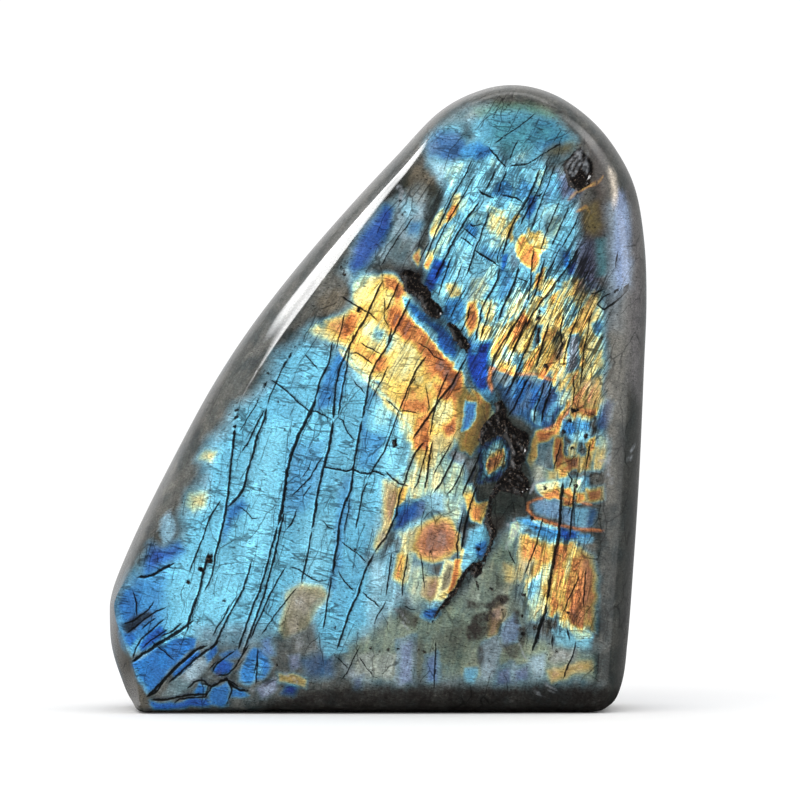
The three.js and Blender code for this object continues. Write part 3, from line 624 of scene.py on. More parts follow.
# Where fine streaks along the lamellae show, and how strongly: the strength, the soft edge and the corners
STREAKED = [
    (0.45, 16, [(310, 320), (345, 280), (400, 276), (480, 350), (484, 500), (400, 500), (396, 440),
        (340, 360)]),
    (0.9, 16, [
        (432, 180), (470, 160), (540, 140), (580, 180), (592, 260), (604, 300), (606, 400), (600, 490),
        (560, 490), (560, 430), (500, 410), (470, 360), (440, 330), (425, 290)]),
    (1.3, 12, [
        (500, 290), (530, 270), (545, 240), (580, 250), (600, 290), (604, 400), (540, 400), (490, 370),
        (486, 330)]),
    (0.9, 12, [(516, 532), (590, 532), (590, 630), (540, 640), (516, 600)]),
    (0.9, 4, [(480, 436), (512, 436), (512, 484), (478, 484)]),
    (0.5, 8, [(378, 480), (410, 480), (420, 600), (376, 600)]),
]

# Soft colours that lie over the flash or stand in for it, among them painted reflections and painted shade
# along the rims: the colour, how much it covers, the width of the soft edge, and the corners
# The next four: painted reflections in the polish of the right rim, and a painted highlight in cream white
LAVENDER_REFLECTION = (128, 150, 190)
PALE_BLUE_REFLECTION = (136, 156, 172)
CREAM_WHITE_HIGHLIGHT = (226, 212, 192)
PINK_GREY_REFLECTION = (142, 138, 128)
SLATE = (50, 52, 50)
COAL = (34, 31, 29)
BLACK_GREEN = (30, 38, 34)
NIGHT = (16, 26, 44)
# A painted reflection along the right rim's outer edge
ASH_REFLECTION = (132, 128, 130)
SEA_GREEN = (96, 140, 112)
TEAL = (66, 134, 146)
OLIVE = (96, 84, 40)
UMBER = (66, 56, 52)
DUSK = (74, 84, 116)
DARK_BROWN = (54, 49, 45)
DRAB = (108, 98, 80)
FOOT_GREY = (88, 84, 75)
TINTS = [
    # Near black along the base, where the stone turns under: painted shade
    (COAL, 0.85, 7, [
        (262, 704), (300, 692), (350, 687), (420, 686), (520, 686), (600, 684), (628, 690), (630, 716),
        (262, 716)]),
    # Down the right rim: a darker strip of painted dark reflection, and over it painted reflections and a
    # cream-white painted highlight
    (SLATE, 0.75, 10, [
        (612, 150), (640, 190), (648, 300), (645, 500), (640, 690), (612, 690), (617, 560), (620, 400),
        (612, 200)]),
    (ASH_REFLECTION, 0.5, 8, [(628, 190), (640, 230), (642, 300), (640, 400), (630, 380), (628, 290)]),
    (PALE_BLUE_REFLECTION, 0.7, 7, [(606, 206), (616, 200), (628, 206), (630, 286), (612, 298), (607, 296), (607, 240)]),
    (LAVENDER_REFLECTION, 0.8, 5, [(616, 190), (624, 194), (629, 230), (628, 284), (616, 290), (614, 240)]),
    (CREAM_WHITE_HIGHLIGHT, 0.8, 3, [(608, 168), (614, 174), (618, 196), (616, 208), (612, 196)]),
    (PINK_GREY_REFLECTION, 0.4, 8, [(608, 316), (626, 300), (628, 350), (624, 420), (610, 420)]),
    (PALE_BLUE_REFLECTION, 0.3, 8, [(606, 300), (622, 296), (622, 330), (606, 330)]),
    (BLACK_GREEN, 0.75, 6, [
        (486, 396), (500, 392), (520, 424), (536, 436), (534, 480), (536, 500), (524, 510), (508, 512),
        (500, 532), (490, 560), (472, 580), (450, 610), (440, 620), (434, 616), (462, 570), (486, 548),
        (484, 520), (474, 500), (474, 470), (474, 440)]),
    (SEA_GREEN, 0.6, 5, [(474, 110), (500, 103), (530, 104), (556, 114), (556, 120), (528, 112), (500, 112),
        (478, 118)]),
    (TEAL, 0.75, 12, [(486, 116), (524, 114), (556, 122), (570, 140), (540, 146), (510, 160), (490, 140)]),
    (UMBER, 0.6, 8, [(584, 130), (606, 150), (608, 210), (604, 300), (590, 316), (576, 290), (574, 220),
        (592, 196)]),
    (OLIVE, 0.6, 5, [(544, 152), (554, 144), (570, 141), (580, 146), (572, 152), (556, 156)]),
    (OLIVE, 0.6, 6, [(584, 206), (598, 202), (602, 226), (594, 238), (584, 230)]),
    (DUSK, 0.5, 6, [(562, 178), (576, 176), (582, 196), (566, 206)]),
    (DUSK, 0.55, 8, [(576, 240), (594, 240), (598, 290), (580, 292)]),
    (TEAL, 0.45, 4, [(596, 240), (606, 238), (607, 274), (597, 276)]),
    (NIGHT, 0.5, 3, [(560, 250), (566, 246), (562, 270), (556, 274)]),
    # A painted reflection lower down the right rim
    (PINK_GREY_REFLECTION, 0.45, 8, [(604, 380), (614, 380), (616, 500), (606, 500)]),
    (FOOT_GREY, 0.9, 2, [
        (106, 598), (112, 603), (117, 625), (122, 645), (131, 665), (138, 682), (147, 699), (150, 710),
        (136, 710), (124, 690), (110, 660), (104, 630)]),
    (COAL, 0.8, 2.5, [(396, 176), (406, 163), (412, 162), (410, 172), (400, 188), (386, 202), (384, 196)]),
    (SLATE, 0.3, 12, [
        (494, 530), (510, 540), (518, 570), (524, 606), (534, 640), (520, 668), (440, 676), (400, 640),
        (436, 622), (470, 582)]),
    (SLATE, 0.4, 5, [(500, 548), (508, 552), (506, 580), (498, 600), (492, 596), (496, 570)]),
    (SLATE, 0.4, 5, [(452, 620), (462, 616), (462, 640), (456, 656), (448, 650)]),
    (DRAB, 0.6, 6, [(318, 300), (334, 290), (350, 292), (354, 306), (340, 314), (322, 312)]),
    (DRAB, 0.55, 5, [(404, 170), (418, 165), (436, 176), (440, 190), (430, 204), (414, 206), (404, 196)]),
    (DARK_BROWN, 0.85, 1.5, [(483, 607), (490, 603), (497, 595), (507, 595), (510, 600), (500, 606),
        (490, 611)]),
    (DARK_BROWN, 0.8, 1.5, [(464, 598), (474, 602), (484, 605), (478, 610), (468, 607)]),
    (DARK_BROWN, 0.85, 2, [(466, 625), (475, 615), (490, 611), (495, 617), (489, 629), (481, 640),
        (468, 641)]),
    (DARK_BROWN, 0.85, 1.5, [(514, 608), (521, 611), (520, 624), (515, 622)]),
    (DARK_BROWN, 0.9, 1.5, [(518, 627), (526, 626), (528, 636), (524, 646), (519, 640)]),
    (DARK_BROWN, 0.8, 2, [(394, 608), (402, 605), (412, 612), (420, 620), (414, 628), (405, 625),
        (397, 617)]),
    (DARK_BROWN, 0.7, 2, [(477, 646), (484, 644), (485, 660), (478, 670)]),
    (DARK_BROWN, 0.6, 2.5, [(500, 645), (512, 642), (524, 646), (520, 656), (506, 658)]),
    (DARK_BROWN, 0.6, 4, [(488, 514), (504, 516), (506, 528), (496, 534), (488, 528)]),
    (BLACK_GREEN, 0.6, 5, [(398, 166), (414, 160), (404, 180), (388, 200), (376, 206), (384, 186)]),
    (BLACK_GREEN, 0.7, 3, [(400, 196), (410, 184), (412, 170), (404, 172), (394, 192)]),
    (BLACK_GREEN, 0.75, 4, [(428, 186), (438, 182), (442, 196), (434, 222), (424, 246), (416, 250),
        (422, 222)]),
    (NIGHT, 0.6, 4, [(396, 268), (424, 268), (448, 306), (448, 322), (470, 334), (474, 356), (456, 352),
        (420, 322)]),
]

# Thin coloured lines: the film order, the width and the places they pass in the photograph
RIMS = [
    (CREAM, 5, [(340, 350), (352, 362), (366, 376), (380, 392), (394, 406), (408, 424), (413, 436)]),
    (GOLD + 0.05, 2, [(568, 200), (576, 192), (586, 187), (598, 182), (603, 176)]),
    (GOLD + 0.05, 1.4, [(576, 212), (586, 206), (590, 212)]),
    (CYAN + 0.04, 2.4, [(532, 520), (545, 525), (558, 529)]),
    (RUST - 0.01, 2, [
        (592, 505), (575, 500), (556, 497), (538, 498), (528, 503), (527, 510), (535, 517), (548, 522),
        (562, 526), (578, 529), (592, 530), (604, 531)]),
    (RUST - 0.02, 3, [
        (492, 392), (489, 380), (491, 368), (500, 370), (512, 374), (524, 374), (536, 374), (548, 379),
        (556, 380)]),
    (RUST - 0.02, 3.2, [(570, 400), (568, 410), (560, 421), (550, 429), (540, 432)]),
]

# Dark inclusions, by their corners in the photograph
INCLUSIONS = [
    [(400, 273), (405, 270), (412, 271), (422, 275), (421, 283), (428, 288), (432, 297), (440, 305),
     (444, 312), (440, 318), (430, 318), (424, 312), (420, 300), (412, 296), (404, 290)],
    [(446, 326), (449, 322), (455, 325), (462, 333), (468, 340), (470, 346), (467, 354), (462, 348),
     (455, 340)],
    [(495, 402), (502, 398), (506, 406), (507, 416), (513, 426), (522, 430), (528, 434), (530, 442),
     (527, 450), (524, 462), (521, 470), (528, 478), (531, 488), (522, 497), (511, 492), (500, 490),
     (493, 500), (491, 514), (492, 524), (498, 532), (492, 542), (488, 530), (484, 522), (488, 505),
     (493, 490), (500, 478), (509, 468), (512, 452), (508, 440), (498, 436), (488, 440), (482, 446),
     (478, 440), (481, 430), (488, 420), (495, 412)],
    [(497, 533), (491, 548), (486, 562), (474, 566), (466, 577), (458, 590), (448, 604), (436, 617),
     (432, 624), (436, 612), (446, 598), (456, 584), (464, 571), (472, 563), (483, 559), (488, 546),
     (491, 536)],
    [(476, 563), (484, 565), (482, 573), (475, 579), (470, 571)],
    [(474, 581), (480, 584), (478, 590)],
    [(489, 587), (494, 589), (492, 593)],
    [(568, 408), (580, 408), (580, 411), (572, 413)],
    [(563, 165), (572, 152), (581, 147), (588, 156), (594, 168), (590, 184), (578, 192), (568, 186)],
    [(205, 555), (213, 554), (214, 563), (206, 564)],
    [(538, 324), (541, 326), (539, 350), (535, 344)],
    [(392, 441), (398, 438), (398, 445), (393, 448)],
    [(357, 306), (362, 306), (361, 313), (357, 312)],
]

# Painted highlights on ridges in the rough pit and along the chips, by their widths and the places they pass
LIT_RIDGES = [
    (0.4, [(634, 446), (631, 452)]),
    (0.4, [(629, 457), (633, 459)]),
    (0.3, [(606, 407), (610, 409)]),
    (0.4, [(609, 412), (612, 418)]),
    (0.3, [(274, 677), (277, 680)]),
    (0.3, [(284, 673), (289, 676)]),
    (0.3, [(293, 678), (297, 683)]),
    (0.3, [(251, 689), (254, 691)]),
    (0.4, [(535, 690), (542, 697)]),
    (0.4, [(546, 684), (553, 690)]),
    (0.3, [(549, 692), (554, 688)]),
    (0.4, [(519, 643), (526, 660)]),
    (0.3, [(396, 609), (403, 616), (408, 622)]),
    (0.3, [(402, 622), (408, 630)]),
    (0.7, [(570, 173), (573, 165), (579, 158), (583, 150)]),
    (0.6, [(572, 176), (577, 170), (580, 163)]),
    (0.8, [(588, 155), (586, 163), (587, 172)]),
    (0.5, [(575, 152), (580, 156), (584, 163), (584, 170)]),
    (0.5, [(566, 168), (571, 161), (576, 156)]),
    (1.2, [(398, 187), (402, 191), (400, 197), (405, 200)]),
    (1.2, [(508, 524), (514, 530), (511, 538), (506, 548)]),
    (1, [(514, 520), (518, 528), (514, 536)]),
    (1.2, [(545, 478), (538, 481), (533, 487), (531, 493)]),
    (1, [(608, 458), (607, 468), (609, 478), (613, 484)]),
    (1, [(601, 459), (606, 463), (607, 469)]),
]

# Small pits and specks: across, down and radius in the photograph
SPECKS = [
    (201, 569, 3), (188, 582, 2.5), (134, 691, 2), (277, 665, 1.5), (430, 552, 1.6), (355, 549, 1.8),
    (546, 366, 2.6), (538, 318, 2.6), (540, 312, 2), (570, 421, 2.6), (524, 595, 2.4), (532, 518, 2.4),
    (545, 488, 2), (403, 215, 2), (400, 201, 2), (264, 371, 1.6), (278, 402, 1.6), (586, 436, 2.6),
    (602, 338, 1.6), (557, 651, 1.6), (549, 658, 1.4), (536, 527, 1.6), (560, 597, 1.4), (568, 613, 1.6),
    (285, 430, 1.2), (330, 398, 1.4), (441, 398, 1.2), (572, 448, 2.2), (564, 432, 2.4), (576, 486, 2.2),
    (224, 601, 1.5), (478, 549, 2), (344, 487, 1.3), (502, 600, 2), (335, 628, 1.5), (535, 628, 2),
    (346, 262, 2.2), (342, 268, 2.4), (345, 275, 1.8), (338, 281, 1.6), (351, 255, 1.5), (355, 647, 1.3),
    (362, 650, 1), (371, 648, 1.2), (380, 651, 1.4), (388, 650, 1.8), (398, 649, 1.3), (418, 650, 1.5),
    (424, 652, 1.8), (433, 648, 1.1), (502, 610, 1.4), (488, 620, 1.6), (522, 616, 1.5), (523, 634, 2),
]

# Cracks, by their widths and the places they pass in the photograph
CRACKS = [
    # Across the blue field, from the left
    (2.2, [(238, 400), (235, 425), (233, 447), (231, 465), (229, 486), (227, 503), (224, 520), (218, 546),
        (213, 564)]),
    (1.2, [(303, 334), (295, 347), (289, 358), (281, 372), (275, 385), (270, 396), (267, 407)]),
    (2.2, [(267, 407), (264, 420), (258, 434), (253, 453), (248, 470), (244, 488), (238, 497), (227, 508)]),
    (1, [(270, 365), (267, 380), (257, 403), (245, 423), (238, 434)]),
    (1.6, [(266, 408), (257, 424), (249, 441), (241, 453)]),
    (1.5, [(222, 499), (216, 508), (210, 517), (203, 538), (195, 557), (189, 573)]),
    (2.5, [(209, 552), (206, 562), (203, 573), (200, 590), (194, 605), (189, 620), (187, 632)]),
    (1.5, [(216, 556), (213, 570), (210, 581), (204, 592)]),
    (3.2, [(316, 398), (310, 413), (299, 434), (291, 455), (287, 472), (285, 490), (282, 508), (278, 526)]),
    (1.8, [(333, 340), (331, 352), (329, 363), (321, 378), (317, 392), (314, 403)]),
    (2, [(278, 526), (272, 546), (267, 566), (260, 590), (253, 606), (244, 632), (238, 650)]),
    (2, [(284, 512), (279, 536), (273, 562), (265, 592), (256, 618), (248, 640), (242, 655)]),
    (1.3, [(298, 508), (291, 524), (285, 532)]),
    (1.5, [(286, 566), (279, 578), (271, 592), (263, 611), (256, 626), (250, 640)]),
    (2.2, [(368, 315), (360, 327), (350, 345), (344, 358), (339, 370), (336, 386), (334, 404), (333, 420)]),
    (2.6, [(333, 420), (331, 437), (328, 452), (322, 474), (318, 492), (315, 512), (312, 530)]),
    (1.8, [(312, 530), (309, 548), (305, 566), (301, 584)]),
    (1.2, [(298, 586), (286, 601), (274, 616), (266, 629), (260, 636)]),
    (1.6, [(354, 332), (349, 352), (347, 367), (343, 387), (340, 404), (338, 417)]),
    (2, [(409, 300), (404, 313), (396, 328), (388, 345), (376, 363), (370, 376), (367, 396), (362, 420)]),
    (2.2, [(362, 420), (357, 447), (353, 470), (351, 490), (345, 503), (340, 520), (337, 548), (332, 574)]),
    (1.6, [(332, 574), (329, 592), (326, 612), (323, 630)]),
    (1.2, [(350, 496), (348, 515), (343, 535)]),
    (1.4, [(389, 364), (384, 376), (376, 391), (371, 400)]),
    (1.5, [(417, 375), (409, 386), (402, 403), (396, 419), (391, 434), (384, 452), (374, 467), (368, 480)]),
    (1.4, [(368, 480), (362, 494), (359, 514), (355, 530)]),
    (2, [(425, 441), (416, 452), (411, 462), (406, 478), (399, 497), (396, 515), (386, 537), (374, 553)]),
    (2, [(374, 553), (366, 569), (358, 594), (350, 611), (343, 632), (337, 650)]),
    (1.5, [(270, 379), (280, 386), (295, 399), (309, 411), (316, 411), (331, 419)]),
    (1.2, [(303, 352), (311, 361), (319, 371)]),
    (1, [(321, 341), (330, 348)]),
    (1.4, [(348, 353), (357, 353), (366, 359), (374, 365)]),
    (1.4, [(360, 341), (366, 347), (374, 350), (382, 355)]),
    (1.2, [(352, 378), (358, 386), (367, 395)]),
    (1.2, [(384, 398), (392, 404), (399, 411), (409, 411), (420, 414)]),
    (1.8, [(322, 467), (336, 469), (347, 471), (353, 469), (361, 473), (368, 474), (375, 471), (387, 477)]),
    (1.5, [(384, 470), (393, 479), (400, 484), (410, 486)]),
    (1.2, [(336, 416), (343, 421), (346, 430), (352, 438), (357, 441)]),
    (1, [(313, 457), (307, 471), (300, 480)]),
    (1.4, [(323, 456), (316, 467), (309, 479), (300, 488), (291, 497)]),
    (1, [(313, 483), (306, 492), (302, 500)]),
    (0.8, [(369, 457), (364, 468)]),
    (1, [(238, 505), (247, 512), (252, 519), (262, 517)]),
    (1.2, [(288, 566), (300, 570), (307, 576), (317, 581), (330, 580)]),
    (1.2, [(322, 519), (328, 527), (336, 531)]),
    (1.8, [(252, 560), (248, 574), (243, 590), (234, 606), (226, 621), (217, 640), (210, 652)]),
    (1.4, [(230, 603), (225, 616), (218, 626), (212, 637)]),
    (1.2, [(340, 540), (348, 547), (357, 553), (368, 564)]),
    (1.2, [(337, 569), (345, 582), (356, 593)]),
    (1.5, [(361, 591), (369, 598), (375, 602), (381, 609)]),
    (1.2, [(387, 599), (383, 607), (377, 616), (374, 626)]),
    (1.4, [(392, 551), (390, 566), (388, 580), (386, 597)]),
    (1.5, [(408, 552), (406, 566), (403, 581), (402, 598)]),
    (1, [(420, 551), (422, 565), (424, 582), (424, 592)]),
    (0.9, [(401, 604), (412, 610), (420, 610)]),
    # The left foot
    (2.4, [(136, 577), (145, 577), (153, 575), (163, 569), (176, 562)]),
    (1.5, [(133, 590), (136, 602), (137, 617)]),
    (1.5, [(122, 625), (135, 620), (142, 614), (148, 610), (155, 600)]),
    (1.2, [(140, 631), (151, 621), (158, 616)]),
    (1.3, [(143, 638), (154, 628), (166, 618)]),
    (1.8, [(160, 637), (173, 631), (183, 622)]),
    (2.4, [(130, 662), (141, 655), (153, 648), (163, 641), (171, 636), (180, 629)]),
    (2, [(147, 697), (157, 691), (167, 676), (180, 664), (190, 656), (196, 650)]),
    (1.5, [(172, 705), (180, 699), (190, 698), (205, 697), (211, 688)]),
    (1.5, [(200, 684), (206, 684), (213, 687), (222, 680), (229, 680), (240, 688)]),
    (1.3, [(218, 660), (213, 665), (208, 671)]),
    (1.5, [(258, 655), (257, 670), (256, 686)]),
    (1.2, [(150, 640), (165, 652), (176, 662)]),
    (3, [(131, 663), (143, 654), (158, 644), (171, 637), (182, 629), (194, 620)]),
    (3, [(147, 697), (160, 684), (172, 671), (184, 660), (196, 650), (208, 645)]),
    (2.2, [(168, 683), (178, 675), (190, 664), (200, 655), (211, 648), (220, 640)]),
    (2, [(150, 699), (164, 700), (178, 697), (190, 695), (208, 694)]),
    (2, [(208, 694), (212, 686), (220, 682), (227, 678), (232, 686), (240, 690), (250, 691)]),
    (1.6, [(186, 690), (194, 682), (204, 680), (210, 686)]),
    (1.6, [(227, 678), (232, 690), (226, 706)]),
    (1.6, [(211, 674), (216, 664), (226, 657), (236, 650)]),
    (1.6, [(216, 676), (228, 674), (236, 666), (244, 652), (250, 644)]),
    (1.2, [(258, 646), (257, 660), (254, 676)]),
    (1.4, [(126, 634), (134, 628), (146, 618), (156, 612), (168, 606)]),
    (1.4, [(132, 660), (136, 648), (142, 638), (154, 628), (162, 620)]),
    (1.2, [(140, 650), (150, 641), (160, 634), (170, 628)]),
    # Along the base
    (1, [(335, 655), (343, 663), (350, 670)]),
    (1, [(360, 645), (353, 660), (347, 672), (340, 682)]),
    (1, [(358, 655), (366, 667), (375, 678)]),
    (1.2, [(436, 640), (435, 662), (434, 690)]),
    (1.5, [(576, 640), (573, 655), (568, 665), (563, 680)]),
    (2, [(567, 626), (568, 633), (570, 641)]),
    (2, [(553, 634), (552, 648)]),
    # Through the warm band
    (2, [(467, 356), (459, 372), (450, 387), (441, 398), (434, 408), (427, 418), (419, 430), (412, 440)]),
    (1.5, [(449, 371), (443, 383), (438, 397), (434, 412), (432, 424), (430, 437)]),
    (1.8, [(427, 355), (417, 369), (408, 387)]),
    (1, [(425, 383), (428, 397), (429, 408), (427, 416)]),
    (1.2, [(416, 342), (428, 348), (434, 356), (446, 362)]),
    (2, [(433, 440), (430, 455), (428, 468), (426, 482), (424, 490)]),
    (1.5, [(428, 444), (424, 460), (421, 471), (418, 482), (413, 491)]),
    (1.2, [(453, 441), (445, 454), (438, 466), (433, 477)]),
    (2, [(457, 450), (449, 468), (441, 483), (433, 494)]),
    (1.5, [(466, 459), (459, 477), (452, 489), (446, 496)]),
    (1.8, [(482, 448), (477, 462), (471, 475), (465, 487), (462, 497)]),
    (2, [(478, 484), (474, 494), (469, 510), (465, 528), (462, 545), (461, 552)]),
    (1.5, [(464, 510), (460, 526), (457, 545), (458, 562)]),
    (2, [(383, 280), (376, 295), (371, 305), (366, 318), (360, 330)]),
    (1.5, [(400, 280), (395, 292), (390, 303), (384, 314)]),
    (2, [(411, 298), (405, 310), (400, 320), (396, 330)]),
    (1, [(384, 295), (385, 306), (384, 319), (390, 329)]),
    (1.5, [(340, 295), (352, 303), (360, 308), (371, 314), (378, 322)]),
    (1, [(415, 215), (400, 235), (388, 253), (380, 268)]),
    (1.2, [(345, 312), (342, 326), (338, 340), (336, 352)]),
    (1.6, [(392, 326), (390, 336), (387, 346)]),
    (1.2, [(430, 240), (424, 252), (418, 264)]),
    # The upper part
    (1, [(537, 112), (528, 120), (513, 131), (503, 137), (493, 145)]),
    (1.8, [(487, 146), (492, 151), (499, 160), (507, 168)]),
    (1.2, [(509, 162), (513, 150), (519, 138)]),
    (1.2, [(507, 166), (524, 165), (533, 161), (541, 155), (551, 149), (563, 142)]),
    (1.5, [(507, 168), (505, 176), (501, 182), (499, 190), (496, 197)]),
    (1.5, [(496, 169), (493, 175), (490, 182), (486, 190)]),
    (2, [(477, 188), (483, 194), (495, 198)]),
    (1.8, [(499, 194), (507, 196), (516, 198), (524, 203)]),
    (2, [(540, 168), (536, 180), (527, 200), (517, 217), (511, 228), (507, 240), (502, 256)]),
    (1.5, [(548, 160), (544, 175), (540, 186), (530, 206), (520, 225)]),
    (1.2, [(556, 163), (546, 190), (538, 210), (534, 222), (530, 232)]),
    (1.6, [(533, 195), (540, 196), (544, 191)]),
    (1.5, [(472, 158), (467, 172), (455, 192), (446, 210), (441, 222), (436, 232), (430, 248), (424, 262)]),
    (1.2, [(476, 173), (464, 195), (452, 214), (447, 224), (442, 233), (436, 247), (432, 258)]),
    (2, [(480, 201), (468, 217), (457, 235), (449, 250), (442, 265), (434, 280)]),
    (1.6, [(489, 210), (487, 220), (483, 228), (480, 238), (475, 250), (471, 262), (467, 276)]),
    (1.5, [(468, 222), (472, 226), (478, 225), (484, 223)]),
    (1.4, [(462, 227), (470, 233), (478, 240)]),
    (1.4, [(459, 236), (466, 240), (474, 247)]),
    (2, [(474, 249), (482, 255), (492, 261), (500, 267)]),
    (2, [(500, 268), (497, 280), (492, 291), (486, 300), (482, 308), (480, 320), (477, 332), (475, 342)]),
    (2.2, [(519, 266), (516, 277), (512, 288), (506, 300), (501, 312), (498, 322)]),
    (1.4, [(534, 248), (532, 262), (531, 276), (530, 290), (527, 304)]),
    (2, [(527, 304), (520, 316), (509, 333), (500, 347), (494, 358), (491, 370)]),
    (1.8, [(545, 258), (541, 272), (538, 284), (534, 296), (529, 306)]),
    (1.8, [(579, 247), (571, 262), (564, 272), (555, 284), (547, 294), (539, 305), (531, 316), (526, 328)]),
    (1.6, [(561, 246), (554, 260), (548, 272), (542, 286)]),
    (1.5, [(452, 256), (446, 272), (441, 287), (438, 298)]),
    (1.3, [(463, 262), (458, 276), (452, 290), (446, 303)]),
    (1.2, [(468, 284), (461, 296), (455, 308), (449, 320)]),
    (1.5, [(470, 304), (468, 316), (464, 326), (459, 334)]),
    (1.6, [(492, 300), (489, 312), (484, 326), (480, 340)]),
    (1.2, [(507, 236), (501, 246), (497, 258), (499, 266)]),
    (1.4, [(560, 200), (554, 214), (548, 228), (543, 242), (540, 252)]),
    (1.4, [(570, 205), (563, 220), (557, 234), (551, 248)]),
    (1.3, [(580, 212), (574, 226), (566, 240), (560, 250)]),
    (1.2, [(514, 276), (523, 280), (530, 284)]),
    (1.4, [(536, 296), (545, 298), (552, 292)]),
    # The right
    (2, [(528, 318), (521, 334), (515, 346), (510, 358), (507, 368)]),
    (2, [(538, 320), (531, 338), (525, 352), (519, 366), (513, 382), (506, 396)]),
    (1.8, [(550, 320), (544, 338), (540, 354), (536, 370)]),
    (1.6, [(564, 312), (560, 330), (562, 345), (556, 362)]),
    (2, [(528, 378), (521, 393), (514, 408), (507, 418)]),
    (1.8, [(545, 380), (541, 394), (536, 408), (533, 424)]),
    (2, [(553, 380), (549, 394), (544, 408), (541, 424)]),
    (1.6, [(583, 300), (577, 318), (570, 336), (566, 352), (563, 368)]),
    (1.5, [(592, 310), (588, 330), (584, 350), (582, 370), (580, 388)]),
    (1.4, [(573, 374), (574, 390), (573, 404)]),
    (1.3, [(606, 288), (596, 293), (588, 294)]),
    (1.4, [(632, 284), (618, 290), (604, 296), (597, 304), (604, 310), (618, 300), (630, 288)]),
    (1.2, [(618, 250), (616, 262), (615, 270)]),
    (3, [(563, 482), (561, 500), (560, 520), (559, 535), (556, 548), (552, 570), (549, 586), (547, 602)]),
    (3, [(547, 602), (545, 614), (540, 626), (536, 640), (532, 652)]),
    (1.8, [(575, 484), (573, 505), (571, 522), (570, 540)]),
    (1.3, [(580, 574), (574, 588), (568, 600), (563, 614)]),
    (1.3, [(586, 568), (584, 588), (584, 608)]),
    (1.3, [(562, 440), (557, 456), (553, 472)]),
    (1.2, [(566, 470), (572, 480), (568, 490)]),
    (1.4, [(590, 440), (588, 456), (586, 470)]),
    (1.3, [(543, 516), (540, 530), (536, 545), (530, 560), (524, 576)]),
    (1.2, [(507, 548), (512, 558), (516, 566)]),
]


# Shape of the stone


def curve_through(rows, places):
    """The smooth closed curve through rows of numbers, at places counted in rows."""
    count = len(rows)
    start = np.floor(places).astype(int)
    t = (places - start)[:, None]
    a, b, c, d = (rows[(start + i) % count] for i in (-1, 0, 1, 2))
    bend = 2 * a - 5 * b + 4 * c - d
    twist = 3 * (b - c) + d - a
    return np.maximum(b + t / 2 * (c - a + t * (bend + t * twist)), 0)


def rim_places(segments):
    """Places on the outline at even distances round it."""
    fine = np.linspace(0, len(OUTLINE), RIM_SAMPLES + 1)
    points = curve_through(OUTLINE, fine)[:, :2]
    run = np.concatenate([[0], np.cumsum(np.linalg.norm(np.diff(points, axis=0), axis=1))])
    return np.interp(np.arange(segments) / segments * run[-1], run, fine)


def roll_height(share, fullness):
    """Height of a rolled edge's section, from 0 at the rim to 1 where the roll ends."""
    return (1 - (1 - np.clip(share, 0, 1)) ** fullness) ** (1 / fullness)


def surface(face, rim, inset):
    """The points of a face that lie inward of places on the rim, in millimetres as the outline is drawn."""
    inward = MIDDLE - rim[:, :2]
    reach = np.linalg.norm(inward, axis=1)
    across, up = (rim[:, :2] + inward * (inset / reach)[:, None]).T
    swelling = np.exp(-(((across - MIDDLE[0]) / DOME_WIDTH) ** 2) - ((up - MIDDLE[1]) / DOME_HEIGHT) ** 2)
    height = OUTLINE[:, 1].max()
    depth = (BASE_DEPTH + (CROWN_DEPTH - BASE_DEPTH) * up / height) / 2 + face["dome"] * swelling
    roll = face.get("roll", rim[:, 2])
    side_height = roll_height((rim[:, 4] + inset) / roll, face.get("fullness", rim[:, 3]))
    low, high = face["base_roll"]
    base_height = roll_height(up / (low + (high - low) * across / OUTLINE[:, 0].max()), 2)
    depth *= (1 - ROLL_SHARE * (1 - side_height)) * (1 - face["base_share"] * (1 - base_height))
    return np.column_stack([across, face["side"] * depth, up])


class Net:
    """Rings of vertices, joined one to the next whatever their counts."""

    def __init__(self):
        self.points = []
        self.faces = []
        self.count = 0

    def add(self, points):
        """Adds a ring, and returns its first vertex's number and how many it has."""
        first = self.count
        self.points.append(points)
        self.count += len(points)
        return first, len(points)

    def join(self, outer, inner):
        """Triangles between two rings that both start at the outline's first row."""
        (first, many), (second, few) = outer, inner
        i = j = 0
        while i < many or j < few:
            a, b = first + i % many, second + j % few
            if j == few or (i < many and (i + 1) * few <= (j + 1) * many):
                self.faces.append((a, first + (i + 1) % many, b))
                i += 1
            else:
                self.faces.append((a, second + (j + 1) % few, b))
                j += 1

    def cover(self, rings, middle):
        """Triangles from the outermost ring in to the middle point."""
        for outer, inner in zip(rings, rings[1:]):
            self.join(outer, inner)
        first, many = rings[-1]
        self.faces.extend((first + i, first + (i + 1) % many, middle[0]) for i in range(many))


def face_rings(net, face, spacing, roll_rings):
    """One face's rings from the rim inwards, and its middle point."""
    rings = []
    rim = curve_through(OUTLINE, rim_places(RIM_SEGMENTS))
    roll = face.get("roll", rim[:, 2])
    for i in range(roll_rings, 0, -1):
        left = 1 - math.sin(i / roll_rings * math.pi / 2)
        rings.append(net.add(surface(face, rim, roll * left)))
    fine = curve_through(OUTLINE, rim_places(RIM_SAMPLES))
    length = np.linalg.norm(np.diff(fine[:, :2], axis=0), axis=1).sum()
    steps = int(np.linalg.norm(MIDDLE - fine[:, :2], axis=1).mean() / spacing)
    for i in range(steps):
        share = i / steps
        rim = curve_through(OUTLINE, rim_places(max(int(length * (1 - share) / spacing), FEWEST_SEGMENTS)))
        reach = np.linalg.norm(MIDDLE - rim[:, :2], axis=1)
        roll = face.get("roll", rim[:, 2])
        rings.append(net.add(surface(face, rim, roll + (reach - roll) * share)))
    reach = np.linalg.norm(MIDDLE - rim[:1, :2], axis=1)
    centre = net.add(surface(face, rim[:1], reach))
    return rings, centre


